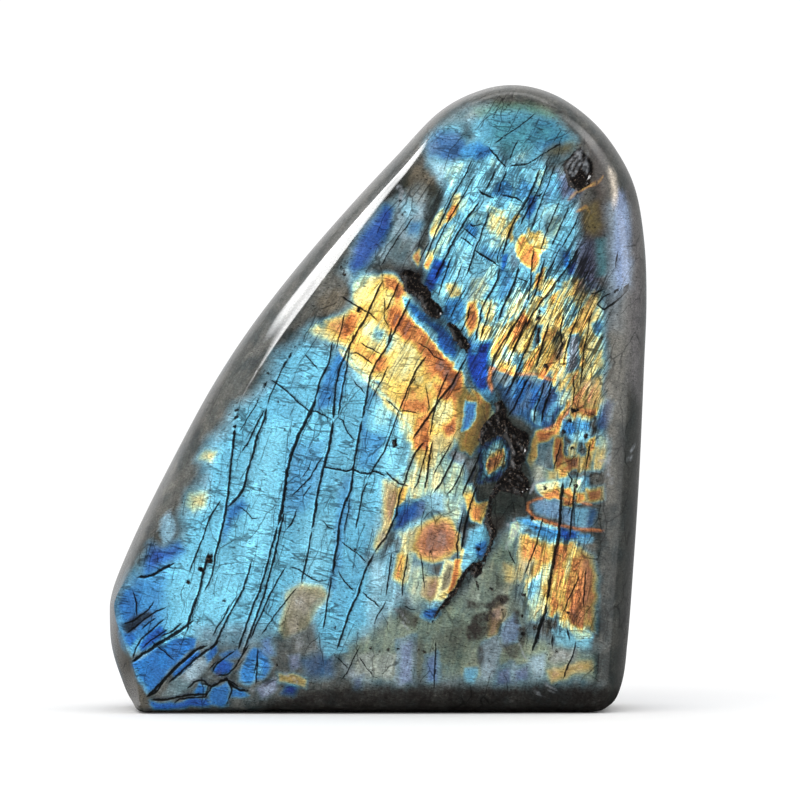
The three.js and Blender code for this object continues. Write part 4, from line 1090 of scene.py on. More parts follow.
def stone_mesh():
    """The closed mesh, its points in metres, and how deep in the dark inclusions the front's points lie."""
    net = Net()
    front, front_middle = face_rings(net, FRONT, FRONT_SPACING, FRONT_ROLL_RINGS)
    front_count = net.count
    back, back_middle = face_rings(net, BACK, BACK_SPACING, BACK_ROLL_RINGS)
    net.cover(front, front_middle)
    turned = len(net.faces)
    net.join(front[0], back[0])
    net.cover(back, back_middle)
    net.faces[turned:] = [face[::-1] for face in net.faces[turned:]]
    points = np.concatenate(net.points)
    low, high = (np.array(corner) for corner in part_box("labradorite"))
    points = low + (points - points.min(0)) * (high - low) / np.ptp(points, axis=0)
    front_places = in_photo(points[:front_count])
    inclusion = inclusion_depth(front_places)
    rough = 0.65 + 0.35 * noise(front_places, 4)
    points[:front_count, 1] += CAVITY * smooth(inclusion / CAVITY_SLOPE) * rough
    mesh = bpy.data.meshes.new("labradorite_polished")
    mesh.from_pydata(points.tolist(), [], net.faces)
    mesh.update()
    mesh.shade_smooth()
    mesh.set_sharp_from_angle(angle=SHARP_ANGLE)
    return mesh, points, inclusion


# Where things lie in the photograph


def in_photo(points):
    """Pixels of the photograph where the camera sees points."""
    up = np.array([0, math.sin(CAMERA_PITCH), math.cos(CAMERA_PITCH)])
    from_aim = points - np.array(AIM)
    nearness = CAMERA_DISTANCE / (CAMERA_DISTANCE - from_aim @ np.array(TO_CAMERA))
    scale = nearness * PHOTO_STONE_PIXELS / STONE_HEIGHT
    return PHOTO_STONE_CENTRE + np.column_stack([from_aim[:, 0] * scale, -(from_aim @ up) * scale])


def smooth(share):
    """A smooth step from 0 to 1."""
    share = np.clip(share, 0, 1)
    return share * share * (3 - 2 * share)


def noise(places, size):
    """Smooth noise from -1 to 1, with bumps of about this size."""
    table = random.uniform(-1, 1, (NOISE_CELLS, NOISE_CELLS))
    cell = np.floor(places / size).astype(int)
    t = smooth(places / size - cell)

    def corner(i, j):
        return table[(cell[:, 0] + i) % NOISE_CELLS, (cell[:, 1] + j) % NOISE_CELLS]

    upper = corner(0, 0) + (corner(1, 0) - corner(0, 0)) * t[:, 0]
    lower = corner(0, 1) + (corner(1, 1) - corner(0, 1)) * t[:, 0]
    return upper + (lower - upper) * t[:, 1]


def sway(places, amount, size):
    """Shifts across and down of up to this amount, by noise with bumps of about this size."""
    return amount * np.column_stack([noise(places, size), noise(places, size)])


def to_lines(places, corners, closed):
    """Distance to the nearest line through corners, its side, how far along that is, and the whole length."""
    corners = np.array(corners, float)
    ends = np.roll(corners, -1, axis=0) if closed else corners[1:]
    nearest = np.full(len(places), np.inf)
    side = np.ones(len(places))
    run = np.zeros(len(places))
    passed = 0
    for a, b in zip(corners, ends):
        way = b - a
        length = np.hypot(*way)
        share = np.clip((places - a) @ way / length**2, 0, 1)
        gap = places - a - share[:, None] * way
        distance = np.hypot(gap[:, 0], gap[:, 1])
        closer = distance < nearest
        nearest[closer] = distance[closer]
        side[closer] = np.sign(way[0] * gap[closer, 1] - way[1] * gap[closer, 0])
        run[closer] = passed + share[closer] * length
        passed += length
    return nearest, side, run, passed


def near(places, corners, margin):
    """Indices of the places within a margin of the corners' box."""
    low = np.min(corners, axis=0) - margin
    high = np.max(corners, axis=0) + margin
    return np.nonzero(((places > low) & (places < high)).all(axis=1))[0]


def depth_inside(places, corners):
    """Distance in from a closed outline, negative outside it."""
    nearest = to_lines(places, corners, True)[0]
    inside = np.zeros(len(places), bool)
    for (ax, ay), (bx, by) in zip(corners, corners[1:] + corners[:1]):
        if ay != by:
            crossing = ax + (places[:, 1] - ay) * (bx - ax) / (by - ay)
            inside ^= ((ay > places[:, 1]) != (by > places[:, 1])) & (places[:, 0] < crossing)
    return np.where(inside, nearest, -nearest)


def share_of_zone(places, corners, softness):
    """Indices of the places in or near a zone, and how fully each lies in it, from 0 to 1 over its edge."""
    index = near(places, corners, softness)
    return index, smooth((depth_inside(places[index], corners) + softness) / (2 * softness))


# The stone's markings


def grain_places(places):
    """Places measured across the steep lamellae, and downwards from lines that fall gently to the right."""
    across = places[:, 0] + places[:, 1] * TILT + np.minimum(places[:, 1] - BEND_HEIGHT, 0) * UPPER_TILT
    return np.column_stack([across, places[:, 1] - CROSS_FALL * across])


def broken_strips(grain, width, length):
    """A random number from -1 to 1 for each piece of lamella, about this wide and long."""
    cuts = np.cumsum(random.uniform(0.5, 1.5, STRIPS) * width) - 100
    strip = np.searchsorted(cuts, grain[:, 0])
    lengths = random.uniform(0.6, 1.6, STRIPS + 1) * length
    starts = random.uniform(0, 500, STRIPS + 1)
    tip = 0.3 * (grain[:, 0] - 300)
    piece = np.floor((grain[:, 1] - tip + 1000 + starts[strip]) / lengths[strip]).astype(int)
    values = random.uniform(-1, 1, (STRIPS + 1, STRIP_PIECES))
    return values[strip, piece % STRIP_PIECES]


def streak_strength(places):
    """How strongly fine streaks along the lamellae shift the hue."""
    values = np.full(len(places), BARE_STREAKS)
    for value, softness, corners in STREAKED:
        index, share = share_of_zone(places, corners, softness)
        values[index] += (value - values[index]) * share
    return values


def flash_fields(places, grain):
    """The film order, the flash's strength, the body's tone and the brightness at places on the front."""
    busy = streak_strength(places)
    wavy = places + sway(places, 2, 16) + sway(places, 0.9, 5)
    wavy[:, 1] += 2.5 * busy * broken_strips(grain, 6, 90)
    order = np.full(len(places), SKY)
    strength = np.full(len(places), BARE_STRENGTH)
    body = np.full(len(places), BARE_BODY)
    for zone_order, zone_strength, zone_body, softness, corners in ZONES:
        index, share = share_of_zone(wavy, corners, softness)
        if zone_strength >= WEAKEST_ORDER:
            order[index] += (zone_order - order[index]) * share
        strength[index] += (zone_strength - strength[index]) * share
        body[index] += (zone_body - body[index]) * share
    coarse = broken_strips(grain, 13, 55)
    fine = broken_strips(grain, 5, 30)
    freedom = np.interp(order, [CYAN - 0.05, CREAM], [0.35, 1])
    shift = (0.012 + 0.015 * busy) * coarse + (0.01 + 0.04 * busy) * fine
    order += freedom * shift + 0.015 * noise(places, 40)
    strength *= np.clip(0.97 + (0.03 + 0.03 * busy) * (coarse + fine), 0, 1.1)
    body += 0.05 * coarse + 0.08 * noise(places, 30) + 0.05 * noise(places, 9)
    bright = 1 + (0.06 + 0.05 * busy) * coarse + (0.04 + 0.16 * busy) * fine + 0.06 * noise(places, 25)
    return np.column_stack([order, strength, body]), np.clip(bright, DARKEST, BRIGHTEST)


def rear_fields(places, grain, depth):
    """The same without the brightness, plainer and random, for the back and the rim."""
    deep = np.outer(depth, DEPTH_DRIFT)
    spread = places + deep
    lamellae = noise((grain + deep) / [8, 55], 1)
    patches = noise(spread, 90) + 0.5 * noise(spread, 35) + 0.3 * lamellae
    order = AZURE + 0.12 * noise(spread, 70) + 0.05 * noise(spread, 20) + 0.03 * lamellae
    strength = 0.6 * smooth(patches * 1.3 - 0.15)
    tone = BARE_BODY + 0.1 * noise(spread, 40) + 0.05 * noise(spread, 12)
    return np.column_stack([order, strength, tone])


def crack_points(line):
    """Points along a crack, about two pixels apart."""
    line = np.array(line, float)
    steps = max(int(np.linalg.norm(np.diff(line, axis=0), axis=1).sum() / 2), 2)
    at = np.linspace(0, len(line) - 1, steps)
    return np.column_stack([np.interp(at, np.arange(len(line)), line[:, k]) for k in (0, 1)])


def sorted_cracks(cracks):
    """The cracks shared out so that those in one group keep apart. Faint ones that don't fit are left out."""
    groups = [[] for _ in range(GROUPS)]
    held = [np.full((1, 2), -1e4) for _ in range(GROUPS)]
    for width, line in cracks:
        points = crack_points(line)
        room = [np.linalg.norm(points[:, None] - other[None], axis=2).min() for other in held]
        best = int(np.argmax(room))
        if room[best] < 1.1 * REACH and width <= FAINT_WIDTH:
            continue
        groups[best].append((width, line))
        held[best] = np.concatenate([held[best], points])
    return groups


def fine_cracks(places, flash):
    """Short faint cracks, mostly along the lamellae, where the stone flashes."""
    cracks = []
    for index in random.integers(0, len(places), FINE_CRACKS):
        if flash[index, 1] < 0.4:
            continue
        start = places[index]
        lean = TILT + (UPPER_TILT if start[1] < BEND_HEIGHT else 0)
        if random.random() < 0.65:
            way = np.array([lean + random.uniform(-0.1, 0.2), -1.0]) * random.uniform(8, 44)
        else:
            way = np.array([1.0, random.uniform(0.2, 0.7)]) * random.uniform(6, 18)
        bend = random.uniform(-0.12, 0.12) * np.array([-way[1], way[0]])
        line = [start, start + way / 2 + bend, start + way]
        cracks.append((random.uniform(0.3, 0.75), [tuple(point) for point in line]))
    return cracks


def companions(cracks):
    """Faint cracks that keep close beside the longer strong ones for part of their way."""
    faint = []
    for width, line in cracks:
        points = crack_points(line)
        if width < 1.5 or len(points) < 14:
            continue
        for _ in range(2):
            start = random.integers(0, len(points) // 2)
            end = start + random.integers(6, max(len(points) // 2, 7))
            part = points[start:end:3]
            if len(part) < 3:
                continue
            aside = random.uniform(2.5, 5) * random.choice([-1, 1])
            shift = aside * np.linspace(0.3, 1, len(part))
            beside = part + np.outer(shift, [1, 0.2])
            faint.append((random.uniform(0.4, FAINT_WIDTH), [tuple(point) for point in beside]))
    return faint


def crack_fields(places, cracks):
    """For each group, the nearest crack's distance as a turn's cosine and sine, and its half width."""
    wavy = places + sway(places, 0.5, 4)
    fields = []
    for group in sorted_cracks(cracks):
        closest = np.full(len(places), REACH)
        signed = np.full(len(places), REACH)
        half_width = np.zeros(len(places))
        for width, line in group:
            index = near(wavy, line, REACH)
            distance, side, run, length = to_lines(wavy[index], line, False)
            closer = distance < closest[index]
            index, distance, side, run = index[closer], distance[closer], side[closer], run[closer]
            taper = smooth(np.minimum(run, length - run) / 9 + 0.2) * smooth(3 - 2 * distance / REACH)
            closest[index] = distance
            signed[index] = distance * side
            half_width[index] = width / 2 * taper
        turn = math.pi * signed / REACH
        fields.append(np.column_stack([np.cos(turn), np.sin(turn), half_width]))
    return fields


def lit_ridge_height(places):
    """How near the crest of a ridge with a painted highlight places lie, 1 on it and 0 beside it."""
    wavy = places + sway(places, 0.8, 4)
    height = np.zeros(len(places))
    for width, line in LIT_RIDGES:
        index = near(wavy, line, 4)
        distance = to_lines(wavy[index], line, False)[0]
        height[index] = np.maximum(height[index], smooth(1.3 - distance / (width + 0.7)))
    return height


def inclusion_depth(places):
    """Distance in from the nearest dark inclusion's or speck's edge, negative outside."""
    wavy = places + sway(places, 1.2, 5)
    depth = np.full(len(places), OUTSIDE_INCLUSIONS)
    for corners in INCLUSIONS:
        index = near(wavy, corners, -OUTSIDE_INCLUSIONS)
        depth[index] = np.maximum(depth[index], depth_inside(wavy[index], corners))
    for across, down, radius in SPECKS:
        depth = np.maximum(depth, radius - np.hypot(places[:, 0] - across, places[:, 1] - down))
    return depth


def tint_fields(places):
    """The colour over the front, in places painted reflection and shade, and how much it covers."""
    wavy = places + sway(places, 1.5, 12) + sway(places, 0.8, 4)
    tint = np.full((len(places), 3), PLAIN_TINT)
    cover = np.zeros(len(places))
    for shade, strength, softness, corners in TINTS:
        index, share = share_of_zone(wavy, corners, softness)
        share = strength * share
        total = share + cover[index] * (1 - share)
        part = np.where(total > 0, share / np.maximum(total, 1e-6), 0)[:, None]
        tint[index] += (np.array(colour(*shade)[:3]) - tint[index]) * part
        cover[index] = total
    return tint, cover


def rim_fields(places):
    """How far inside the nearest coloured line's edge the places lie, and that line's film order."""
    wavy = places + sway(places, 0.7, 6)
    inside = np.full(len(places), OUTSIDE_RIMS)
    order = np.full(len(places), ORANGE)
    for rim_order, width, line in RIMS:
        index = near(wavy, line, -OUTSIDE_RIMS)
        distance, _, run, length = to_lines(wavy[index], line, False)
        depth = width / 2 * smooth(np.minimum(run, length - run) / 8 + 0.3) - distance
        deeper = depth > inside[index]
        inside[index[deeper]] = depth[deeper]
        order[index[deeper]] = rim_order
    return inside, order


def set_attribute(mesh, name, values):
    """Three numbers for each of the mesh's points, for the material to read."""
    attribute = mesh.attributes.new(name, "FLOAT_VECTOR", "POINT")
    attribute.data.foreach_set("vector", np.ascontiguousarray(values, dtype=np.float32).ravel())


def set_front_attribute(mesh, name, behind, values):
    """The same, with values for the front's points, which come first, and one row for all the others."""
    everywhere = np.tile(behind, (len(mesh.vertices), 1))
    everywhere[:len(values)] = values
    set_attribute(mesh, name, everywhere)


def mark_stone(mesh, points, inclusion):
    """The markings as attributes: drawn on the front, and plainer random ones on the back."""
    places = in_photo(points)
    grain = grain_places(places)
    front_count = len(inclusion)
    front = places[:front_count]
    depth = points[:, 1] * PHOTO_STONE_PIXELS / STONE_HEIGHT
    set_attribute(mesh, "grain", np.column_stack([grain, depth]))

    flash = rear_fields(places, grain, depth)
    turned = 1 - smooth(-depth[:front_count] / RIM_BLEND)
    drawn, bright = flash_fields(front, grain[:front_count])
    flash[:front_count] += (drawn - flash[:front_count]) * (1 - turned[:, None])
    set_attribute(mesh, "flash", flash)

    tint, cover = tint_fields(front)
    cover *= 1 - turned
    inside, rim_order = rim_fields(front)
    texture = np.column_stack([streak_strength(front), inclusion, cover])
    set_front_attribute(mesh, "texture", [BARE_STREAKS, OUTSIDE_INCLUSIONS, 0.0], texture)
    set_front_attribute(mesh, "tint", [PLAIN_TINT] * 3, tint)
    rims = np.column_stack([inside, rim_order, bright])
    set_front_attribute(mesh, "rims", [OUTSIDE_RIMS, ORANGE, 1.0], rims)
    # Where the painted highlights on ridges lie
    set_front_attribute(mesh, "lit_ridges", [0.0] * 3, np.outer(lit_ridge_height(front), [1, 0, 0]))
    cracks = CRACKS + companions(CRACKS) + fine_cracks(front, flash)
    for group, field in enumerate(crack_fields(front, cracks)):
        set_front_attribute(mesh, f"crack_{group}", [-1.0, 0.0, 0.0], field)


# Materials


def colour(red, green, blue):
    """A display colour, 0 to 255, as the linear one that Blender mixes."""
    channels = (red, green, blue)
    return tuple(((c / 255 + 0.055) / 1.055) ** 2.4 if c > 10 else c / 3295 for c in channels) + (1,)


FLASH_HUES = [
    (INDIGO, colour(18, 26, 96)),
    (ROYAL, colour(18, 62, 162)),
    (AZURE, colour(44, 124, 190)),
    (SKY, colour(104, 184, 214)),
    (CYAN, colour(133, 215, 240)),
    (MINT, colour(206, 250, 216)),
    (CREAM, colour(255, 246, 168)),
    (GOLD, colour(255, 216, 104)),
    (ORANGE, colour(240, 156, 84)),
    (RUST, colour(178, 98, 44)),
    (MAUVE, colour(138, 106, 94)),
]
BODY_TONES = [
    (0.0, colour(6, 6, 6)),
    (0.3, colour(40, 40, 34)),
    (0.6, colour(96, 90, 80)),
    (0.8, colour(138, 134, 132)),
    (1.0, colour(180, 192, 198)),
]
INCLUSION_TONES = [
    (0.0, colour(2, 2, 3)),
    (0.5, colour(8, 7, 8)),
    (0.62, colour(52, 42, 36)),
    (0.72, colour(150, 136, 122)),
    (1.0, colour(210, 200, 190)),
]
# Painted shade beside the cracks
CRACK_SHADE = colour(10, 36, 70)
# The colour of the painted highlights on the ridges
RIDGE_HIGHLIGHT_GREY = colour(150, 156, 162)
FLOOR_WHITE = (0.96, 0.96, 0.96, 1)

# The stone and the polish over it
STONE_ROUGHNESS = 0.45
STONE_SPECULAR = 0.25
COAT_ROUGHNESS = 0.04

# Sizes of the textures in pixels of the photograph: across the lamellae, along them and into the depth
STREAK = (2.4, 34, 30)
RIPPLE = (4, 1.8, 4)
CLOUD = (11, 16, 14)
SMALL_PIECE = (8, 25, 20)
LARGE_PIECE = (21, 62, 50)
PIECE_BEND, PIECE_SHIFT = 14, 9
SMALL_GAP = (26, 40, 40)  # where the small pieces show no edges
LARGE_GAP = (40, 50, 50)
MOTTLE = (4, 5, 4)
SPECKLE = (2.6, 1.7, 2)
TICK = (3.6, 1.5, 2)
CRACK_JAG = (2.2, 4, 4)
RAGGED_EDGE = (3, 3, 3)
BLACK_GRAIN = (2, 2, 2)
GLINT = (4, 4, 4)

# Thin dark lines, where noise of the first sizes comes this near its middle. Noise of the last sizes breaks
# them off.
STEEP_VEINS = (7, 80, 40), 0.045, (60, 50, 50)
THIN_VEINS = (4, 50, 30), 0.04, (24, 30, 30)
LEVEL_VEINS = (36, 8, 9), 0.04, (30, 14, 20)


class Sheet:
    """The nodes of a material or a world, made one call at a time."""

    def __init__(self, owner):
        owner.use_nodes = True
        self.owner = owner
        self.nodes = owner.node_tree.nodes
        self.links = owner.node_tree.links

    def feed(self, socket, value):
        """Links a node's output to a socket, or sets a plain value on it."""
        if isinstance(value, bpy.types.NodeSocket):
            self.links.new(value, socket)
        else:
            socket.default_value = value

    def fed(self, node, *values):
        """The node with its first sockets fed."""
        for socket, value in zip(node.inputs, values):
            self.feed(socket, value)
        return node

    def make(self, kind, *values):
        """A new node with its first sockets fed."""
        return self.fed(self.nodes.new(f"ShaderNode{kind}"), *values)

    def shade(self, **values):
        """Feeds the material's shader, each socket by its name with underscores for spaces."""
        for name, value in values.items():
            self.feed(self.nodes["Principled BSDF"].inputs[name.replace("_", " ")], value)

    def attribute(self, name):
        """An attribute of the mesh as a vector."""
        node = self.make("Attribute")
        node.attribute_name = name
        return node.outputs["Vector"]

    def numbers(self, name):
        """An attribute's three numbers."""
        return self.make("SeparateXYZ", self.attribute(name)).outputs

    def math(self, operation, *values, clamp=False):
        node = self.make("Math")
        node.operation = operation
        node.use_clamp = clamp
        return self.fed(node, *values).outputs[0]

    def times(self, value, factor, clamp=False):
        return self.math("MULTIPLY", value, factor, clamp=clamp)

    def scaled(self, value, factor, offset, clamp=False):
        return self.math("MULTIPLY_ADD", value, factor, offset, clamp=clamp)

    def less(self, value, other):
        return self.math("SUBTRACT", value, other)

    def larger(self, value, other):
        return self.math("MAXIMUM", value, other)

    def step(self, value, low, high, start=0, end=1):
        """A smooth step from start to end as the value goes from low to high."""
        node = self.make("MapRange", value, low, high, start, end)
        node.interpolation_type = "SMOOTHSTEP"
        return node.outputs[0]

    def vector_math(self, operation, *values):
        node = self.make("VectorMath")
        node.operation = operation
        return self.fed(node, *values).outputs[0]

    def shrunk(self, vector, sizes):
        """The vector measured in these sizes along its axes."""
        return self.vector_math("MULTIPLY", vector, [1 / size for size in sizes])

    def noise_node(self, vector, scale, detail, roughness=0.5):
        node = self.make("TexNoise", vector)
        for name, value in (("Scale", scale), ("Detail", detail), ("Roughness", roughness)):
            node.inputs[name].default_value = value
        return node

    def noise(self, vector, sizes, detail=2, roughness=0.5):
        """Noise about 0.5, with bumps of these sizes along the vector's axes."""
        return self.noise_node(self.shrunk(vector, sizes), 1, detail, roughness).outputs["Fac"]

    def wave(self, vector, sizes, detail, roughness=0.5):
        """The same about 0."""
        return self.less(self.noise(vector, sizes, detail, roughness), 0.5)

    def wavy(self, vector, size, amount):
        """The vector shifted about by smooth noise."""
        shifts = self.noise_node(vector, 1 / size, 2).outputs["Color"]
        return self.vector_math("MULTIPLY_ADD", shifts, [amount] * 3, vector)

    def facets(self, vector, sizes):
        """Flat pieces of about these sizes: the distance to a piece's edge, and a number for each piece."""
        vector = self.shrunk(vector, sizes)
        made = []
        for feature, output in (("DISTANCE_TO_EDGE", "Distance"), ("F1", "Color")):
            node = self.make("TexVoronoi", vector)
            node.feature = feature
            node.inputs["Scale"].default_value = 1
            made.append(node.outputs[output])
        return made[0], self.make("SeparateXYZ", made[1]).outputs[0]

    def ramp(self, value, stops):
        """The colour at a value between stops of (place, colour)."""
        node = self.make("ValToRGB", value)
        elements = node.color_ramp.elements
        for place, shade in stops[1:-1]:
            elements.new(place).color = shade
        elements[0].color = stops[0][1]
        elements[-1].color = stops[-1][1]
        return node.outputs[0]

    def mix(self, share, below, above, blend="MIX"):
        """One colour laid over another."""
        node = self.make("Mix", share)
        node.data_type = "RGBA"
        node.blend_type = blend
        self.feed(node.inputs[6], below)
        self.feed(node.inputs[7], above)
        return node.outputs[2]


class StoneSheet(Sheet):
    """Labradorite, built up from the mesh's attributes one layer over the next."""

    def __init__(self):
        super().__init__(bpy.data.materials.new("labradorite"))
        self.grain = self.attribute("grain")
        self.order, self.strength, self.tone = self.numbers("flash")
        self.streaks, self.inclusion, self.cover = self.numbers("texture")
        self.rim_depth, self.rim_order, self.brightness = self.numbers("rims")
        self.streak = self.wave(self.grain, STREAK, 3, 0.6)
        self.ripple = self.wave(self.grain, RIPPLE, 3, 0.65)
        self.cloud = self.wave(self.grain, CLOUD, 3)
        bent = self.wavy(self.grain, PIECE_BEND, PIECE_SHIFT)
        self.small_edge, small_piece = self.facets(bent, SMALL_PIECE)
        self.large_edge, large_piece = self.facets(bent, LARGE_PIECE)
        small_piece = self.times(self.less(small_piece, 0.5), self.streaks)
        self.piece = self.scaled(self.less(large_piece, 0.5), 0.5, small_piece)

    def flash(self):
        """The hue of the films, which drifts along the streaks and from piece to piece."""
        shift = self.times(self.times(self.streak, self.streaks), 0.32)
        shift = self.scaled(self.piece, 0.1, shift)
        shift = self.scaled(self.cloud, 0.08, shift)
        shift = self.scaled(self.ripple, 0.05, shift)
        shift = self.times(shift, self.step(self.order, CYAN - 0.05, CREAM, 0.3, 1))
        return self.ramp(self.math("ADD", self.order, shift, clamp=True), FLASH_HUES)

    def body(self):
        """The grey stone under the flash."""
        tone = self.scaled(self.cloud, 0.5, self.tone)
        tone = self.scaled(self.ripple, 0.3, tone)
        return self.ramp(self.scaled(self.streak, 0.25, tone, clamp=True), BODY_TONES)

    def flashing_body(self):
        share = self.scaled(self.times(self.streak, self.streaks), 0.5, self.strength)
        share = self.scaled(self.ripple, 0.15, share)
        share = self.times(self.times(share, 1, clamp=True), self.step(self.strength, 0.0, 0.12))
        return self.mix(share, self.body(), self.flash())

    def with_rims(self, stone):
        """The thin coloured lines."""
        turn = self.scaled(self.rim_depth, -0.035, self.scaled(self.ripple, 0.25, self.rim_order))
        share = self.times(self.step(self.rim_depth, -2, 1.4), 0.75)
        return self.mix(share, stone, self.ramp(turn, FLASH_HUES))

    def with_tints(self, stone):
        """The soft colours that lie over the flash or stand in for it, some painted reflection and shade."""
        mottle = self.wave(self.grain, MOTTLE, 3, 0.7)
        cover = self.times(self.cover, self.scaled(self.cloud, 1.0, 1.0))
        cover = self.times(cover, self.scaled(mottle, 1.2, 1.0), clamp=True)
        tint = self.mix(1.0, self.attribute("tint"), self.scaled(self.ripple, 0.8, 1.0), "MULTIPLY")
        return self.mix(cover, stone, tint)

    def with_texture(self, stone):
        """Speckles, short dark ticks and pieces of differing brightness."""
        speckle = self.step(self.noise(self.grain, SPECKLE, 3, 0.7), 0.32, 0.68, 0.66, 1.26)
        ticks = self.step(self.noise(self.grain, TICK, 1), 0.28, 0.35, 0.3, 1)
        texture = self.times(self.times(speckle, ticks), self.brightness)
        texture = self.times(texture, self.scaled(self.piece, 0.4, 1.1))
        return self.mix(1.0, stone, texture, "MULTIPLY")

    def cracks(self):
        """How dark the cracks are, how bright their lit edges and how deep the shade on their other side."""
        dark, bright, shade = 0.0, 0.0, 0.0
        jag = self.noise(self.grain, CRACK_JAG, 2)
        for group in range(GROUPS):
            cosine, sine, half_width = self.numbers(f"crack_{group}")
            turn = self.math("ARCTAN2", sine, cosine)
            signed = self.scaled(turn, REACH / math.pi, self.scaled(jag, 0.9, -0.45))
            beside = self.math("ABSOLUTE", signed)
            wide = self.scaled(half_width, self.times(jag, 1.8), 0.1)
            line = self.scaled(self.less(wide, beside), 1.5, 0.6, clamp=True)
            line = self.times(line, self.times(half_width, 2.2, clamp=True))
            dark = self.larger(dark, line)
            outer = self.less(self.less(signed, wide), 1.0)
            edge = self.scaled(self.math("ABSOLUTE", outer), -1.5, 1, clamp=True)
            edge = self.times(edge, self.scaled(half_width, 1.4, -0.6, clamp=True))
            bright = self.larger(bright, edge)
            below = self.scaled(signed, 0.3, 1.15, clamp=True)
            below = self.times(below, self.math("LESS_THAN", signed, 0))
            below = self.times(below, self.scaled(half_width, 1.2, -0.4, clamp=True))
            shade = self.larger(shade, below)
        return dark, bright, shade

    def veins(self, sizes, width, gaps):
        """Thin dark lines along the larger sizes, broken off in places, and painted highlights beside them.
        """
        signed = self.wave(self.grain, sizes, 2, 0.55)
        there = self.step(self.noise(self.grain, gaps, 1), 0.43, 0.53)
        line = self.step(self.math("ABSOLUTE", signed), width * 0.3, width, 1, 0)
        beside = self.step(self.math("ABSOLUTE", self.less(signed, width * 1.7)), 0, width, 1, 0)
        return self.times(line, there), self.times(beside, there)

    def net(self):
        """Dark edges of the flat pieces, broken off in places."""
        small = self.times(self.step(self.small_edge, 0.015, 0.075, 1, 0), self.streaks, clamp=True)
        small = self.times(small, self.step(self.noise(self.grain, SMALL_GAP, 1), 0.4, 0.55, 0.15, 0.9))
        large = self.step(self.large_edge, 0.004, 0.03, 0.8, 0)
        large = self.times(large, self.step(self.noise(self.grain, LARGE_GAP, 1), 0.45, 0.6))
        return self.larger(small, large)

    def with_lines(self, stone):
        """The cracks and the fine lines between them, with painted shade and highlights beside them."""
        steep, steep_side = self.veins(*STEEP_VEINS)
        thin, thin_side = self.veins(*THIN_VEINS)
        level, level_side = self.veins(*LEVEL_VEINS)
        close = self.times(self.larger(steep, self.times(thin, 0.8)), self.streaks)
        close = self.larger(self.math("MINIMUM", close, 1.0), self.net())
        fine = self.larger(close, self.times(level, self.step(self.strength, 0.15, 0.9, 0.15, 0.7)))
        beside = self.times(self.larger(steep_side, thin_side), self.streaks)
        beside = self.larger(beside, self.times(level_side, 0.5))
        dark, bright, shade = self.cracks()
        # Painted shade on one side of the cracks
        stone = self.mix(self.times(shade, 0.55), stone, CRACK_SHADE)
        lines = self.scaled(fine, -0.85, 1)
        # Painted highlights beside the fine lines and along the cracks' lit edges
        lines = self.times(lines, self.scaled(self.larger(beside, bright), 0.7, 1))
        lines = self.times(lines, self.scaled(dark, -0.96, 1))
        return self.mix(1.0, stone, lines, "MULTIPLY")

    def with_inclusions(self, stone):
        """The dark inclusions and specks."""
        edge = self.scaled(self.wave(self.grain, RAGGED_EDGE, 3), 5, self.inclusion)
        black = self.ramp(self.noise(self.grain, BLACK_GRAIN, 3, 0.75), INCLUSION_TONES)
        return self.mix(self.step(edge, -0.9, 0.9), stone, black)

    def with_ridge_highlights(self, stone):
        """Painted highlights and sparkles on the ridges."""
        lit_ridge = self.numbers("lit_ridges")[0]
        glint = self.times(lit_ridge, self.step(self.noise(self.grain, GLINT, 2), 0.4, 0.6, 0.3, 1))
        return self.mix(self.times(glint, 0.75), stone, RIDGE_HIGHLIGHT_GREY)


def polished_stone():
    """The stone's layers under a clear polish."""
    sheet = StoneSheet()
    stone = sheet.with_texture(sheet.with_tints(sheet.with_rims(sheet.flashing_body())))
    stone = sheet.with_ridge_highlights(sheet.with_inclusions(sheet.with_lines(stone)))
    sheet.shade(Base_Color=stone, Roughness=STONE_ROUGHNESS, Specular_IOR_Level=STONE_SPECULAR)
    sheet.shade(Coat_Weight=1, Coat_Roughness=COAT_ROUGHNESS)
    return sheet.owner


def pale_paint():
    """A dull white."""
    sheet = Sheet(bpy.data.materials.new("floor"))
    sheet.shade(Base_Color=FLOOR_WHITE, Roughness=1, Specular_IOR_Level=0)
    return sheet.owner


# Studio

FLOOR_REACH = 3
DAYLIGHT = 1.07
KEY_PLACE = (-0.5, -0.9, 1.3)
KEY_SIZE = (1.2, 0.9)
KEY_POWER = 5
SENSOR_WIDTH = 36

# What the polish mirrors: each softbox's bearing and height, its half width and half height, its soft edge,
# all in degrees, its brightness, and how much it droops towards the front for each degree squared. A bearing
# of 0 is the camera's side and 90 is the right.
SOFTBOXES = [
    (-78, 41, 31, 5.2, 3, 24, 0.0105),
    (-108, 40, 24, 7, 8, 1.3, 0),
    (66, 10, 16, 9, 6, 2.4, 0),
    (88, 41, 24, 14, 12, 4, 0),
    (60, 25, 38, 40, 8, 0.9, 0),
    (-160, 12, 22, 26, 8, 0.3, 0),
    (175, 62, 60, 10, 8, 1.5, 0),
]


def floor():
    """A plain pale floor, out of the polish's sight."""
    corners = [(-1, -1), (1, -1), (1, 1), (-1, 1)]
    mesh = bpy.data.meshes.new("floor")
    mesh.from_pydata([(x * FLOOR_REACH, y * FLOOR_REACH, 0) for x, y in corners], [], [(0, 1, 2, 3)])
    mesh.materials.append(pale_paint())
    piece = bpy.data.objects.new("floor", mesh)
    piece.visible_glossy = False
    bpy.context.collection.objects.link(piece)


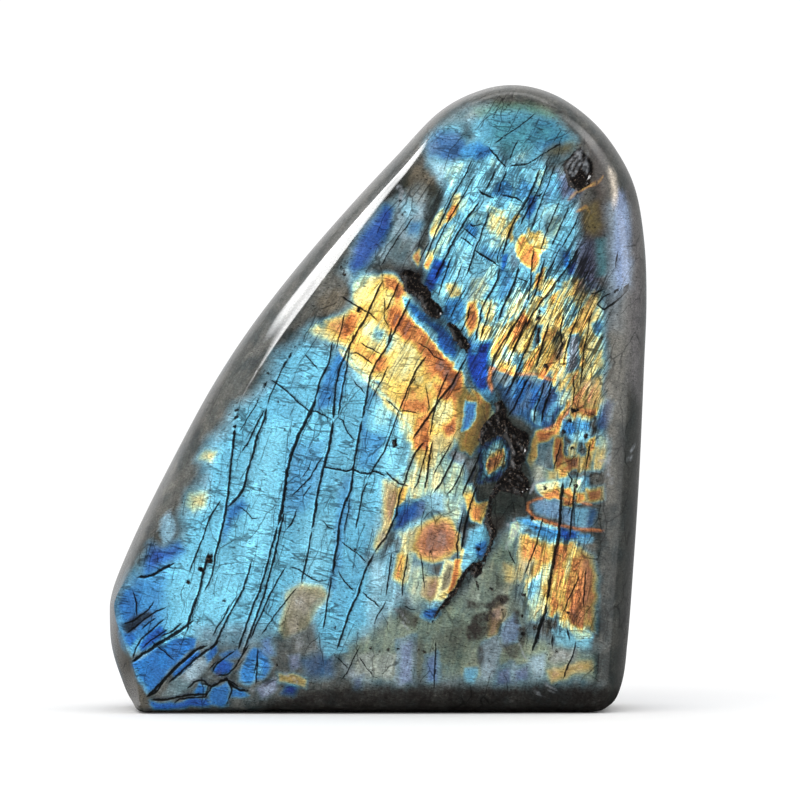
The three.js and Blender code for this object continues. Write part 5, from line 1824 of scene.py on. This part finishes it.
def mirrored_studio(sheet):
    """Brightness of the surroundings by direction, as the polish mirrors them."""
    x, y, z = sheet.make("SeparateXYZ", sheet.make("TexCoord").outputs["Generated"]).outputs
    degree = math.degrees(1)
    bearing = sheet.times(sheet.math("ARCTAN2", x, sheet.times(y, -1)), degree)
    height = sheet.times(sheet.math("ARCSINE", z), degree)
    behind = sheet.scaled(y, 0.5, 0.5, clamp=True)
    total = sheet.scaled(sheet.math("POWER", behind, 3), 1.1, 0.03)
    total = sheet.times(total, sheet.scaled(z, 1.5, 0.28, clamp=True))
    for place, above, half_width, half_height, softness, power, droop in SOFTBOXES:
        past = sheet.less(bearing, place)
        half_turn = sheet.math("ABSOLUTE", sheet.less(sheet.math("ABSOLUTE", past), 180))
        across = sheet.less(180, half_turn)
        drooping = sheet.times(sheet.math("POWER", sheet.larger(past, 0), 2), droop)
        up = sheet.math("ABSOLUTE", sheet.less(sheet.math("ADD", height, drooping), above))
        inside = sheet.scaled(across, -1 / softness, half_width / softness, clamp=True)
        within = sheet.scaled(up, -1 / softness, half_height / softness, clamp=True)
        total = sheet.scaled(sheet.times(inside, within), power, total)
    return total


def world():
    """Plain white daylight, and a studio with softboxes where the polish mirrors it."""
    sheet = Sheet(bpy.data.worlds.new("studio"))
    plain = sheet.nodes["Background"]
    plain.inputs["Strength"].default_value = DAYLIGHT
    plain.inputs["Color"].default_value = (1, 1, 1, 1)
    mirrored = sheet.make("Background")
    sheet.feed(mirrored.inputs["Strength"], mirrored_studio(sheet))
    glossy = sheet.make("LightPath").outputs["Is Glossy Ray"]
    either = sheet.make("MixShader", glossy, plain.outputs[0], mirrored.outputs[0])
    sheet.feed(sheet.nodes["World Output"].inputs["Surface"], either.outputs[0])
    bpy.context.scene.world = sheet.owner


def key_light():
    """A large lamp above the camera's left, which the polish doesn't mirror."""
    light = bpy.data.lights.new("key", "AREA")
    light.shape = "RECTANGLE"
    light.size, light.size_y = KEY_SIZE
    light.energy = KEY_POWER
    lamp = bpy.data.objects.new("key", light)
    lamp.location = KEY_PLACE
    lamp.rotation_euler = (Vector(AIM) - lamp.location).to_track_quat("-Z", "Y").to_euler()
    lamp.visible_glossy = False
    bpy.context.collection.objects.link(lamp)


def camera():
    """A camera that sees the stone where the photograph shows it."""
    data = bpy.data.cameras.new("camera")
    made = bpy.data.objects.new("camera", data)
    bpy.context.collection.objects.link(made)
    bpy.context.scene.camera = made
    shown = STONE_HEIGHT * PHOTO_SIZE / PHOTO_STONE_PIXELS
    data.sensor_width = SENSOR_WIDTH
    data.lens = SENSOR_WIDTH * CAMERA_DISTANCE / shown
    made.location = Vector(AIM) + Vector(TO_CAMERA) * CAMERA_DISTANCE
    made.rotation_euler = (-Vector(TO_CAMERA)).to_track_quat("-Z", "Y").to_euler()
    data.shift_x = (PHOTO_SIZE / 2 - PHOTO_STONE_CENTRE[0]) / PHOTO_SIZE
    data.shift_y = (PHOTO_STONE_CENTRE[1] - PHOTO_SIZE / 2) / PHOTO_SIZE


def labradorite():
    """The marked and polished stone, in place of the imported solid."""
    mesh, points, inclusion = stone_mesh()
    mark_stone(mesh, points, inclusion)
    mesh.materials.append(polished_stone())
    stone = bpy.data.objects.new("labradorite_polished", mesh)
    bpy.context.collection.objects.link(stone)
    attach(stone, "root")
    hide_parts("labradorite")


labradorite()
floor()
world()
key_light()
camera()
bpy.context.scene.view_settings.view_transform = "Standard"
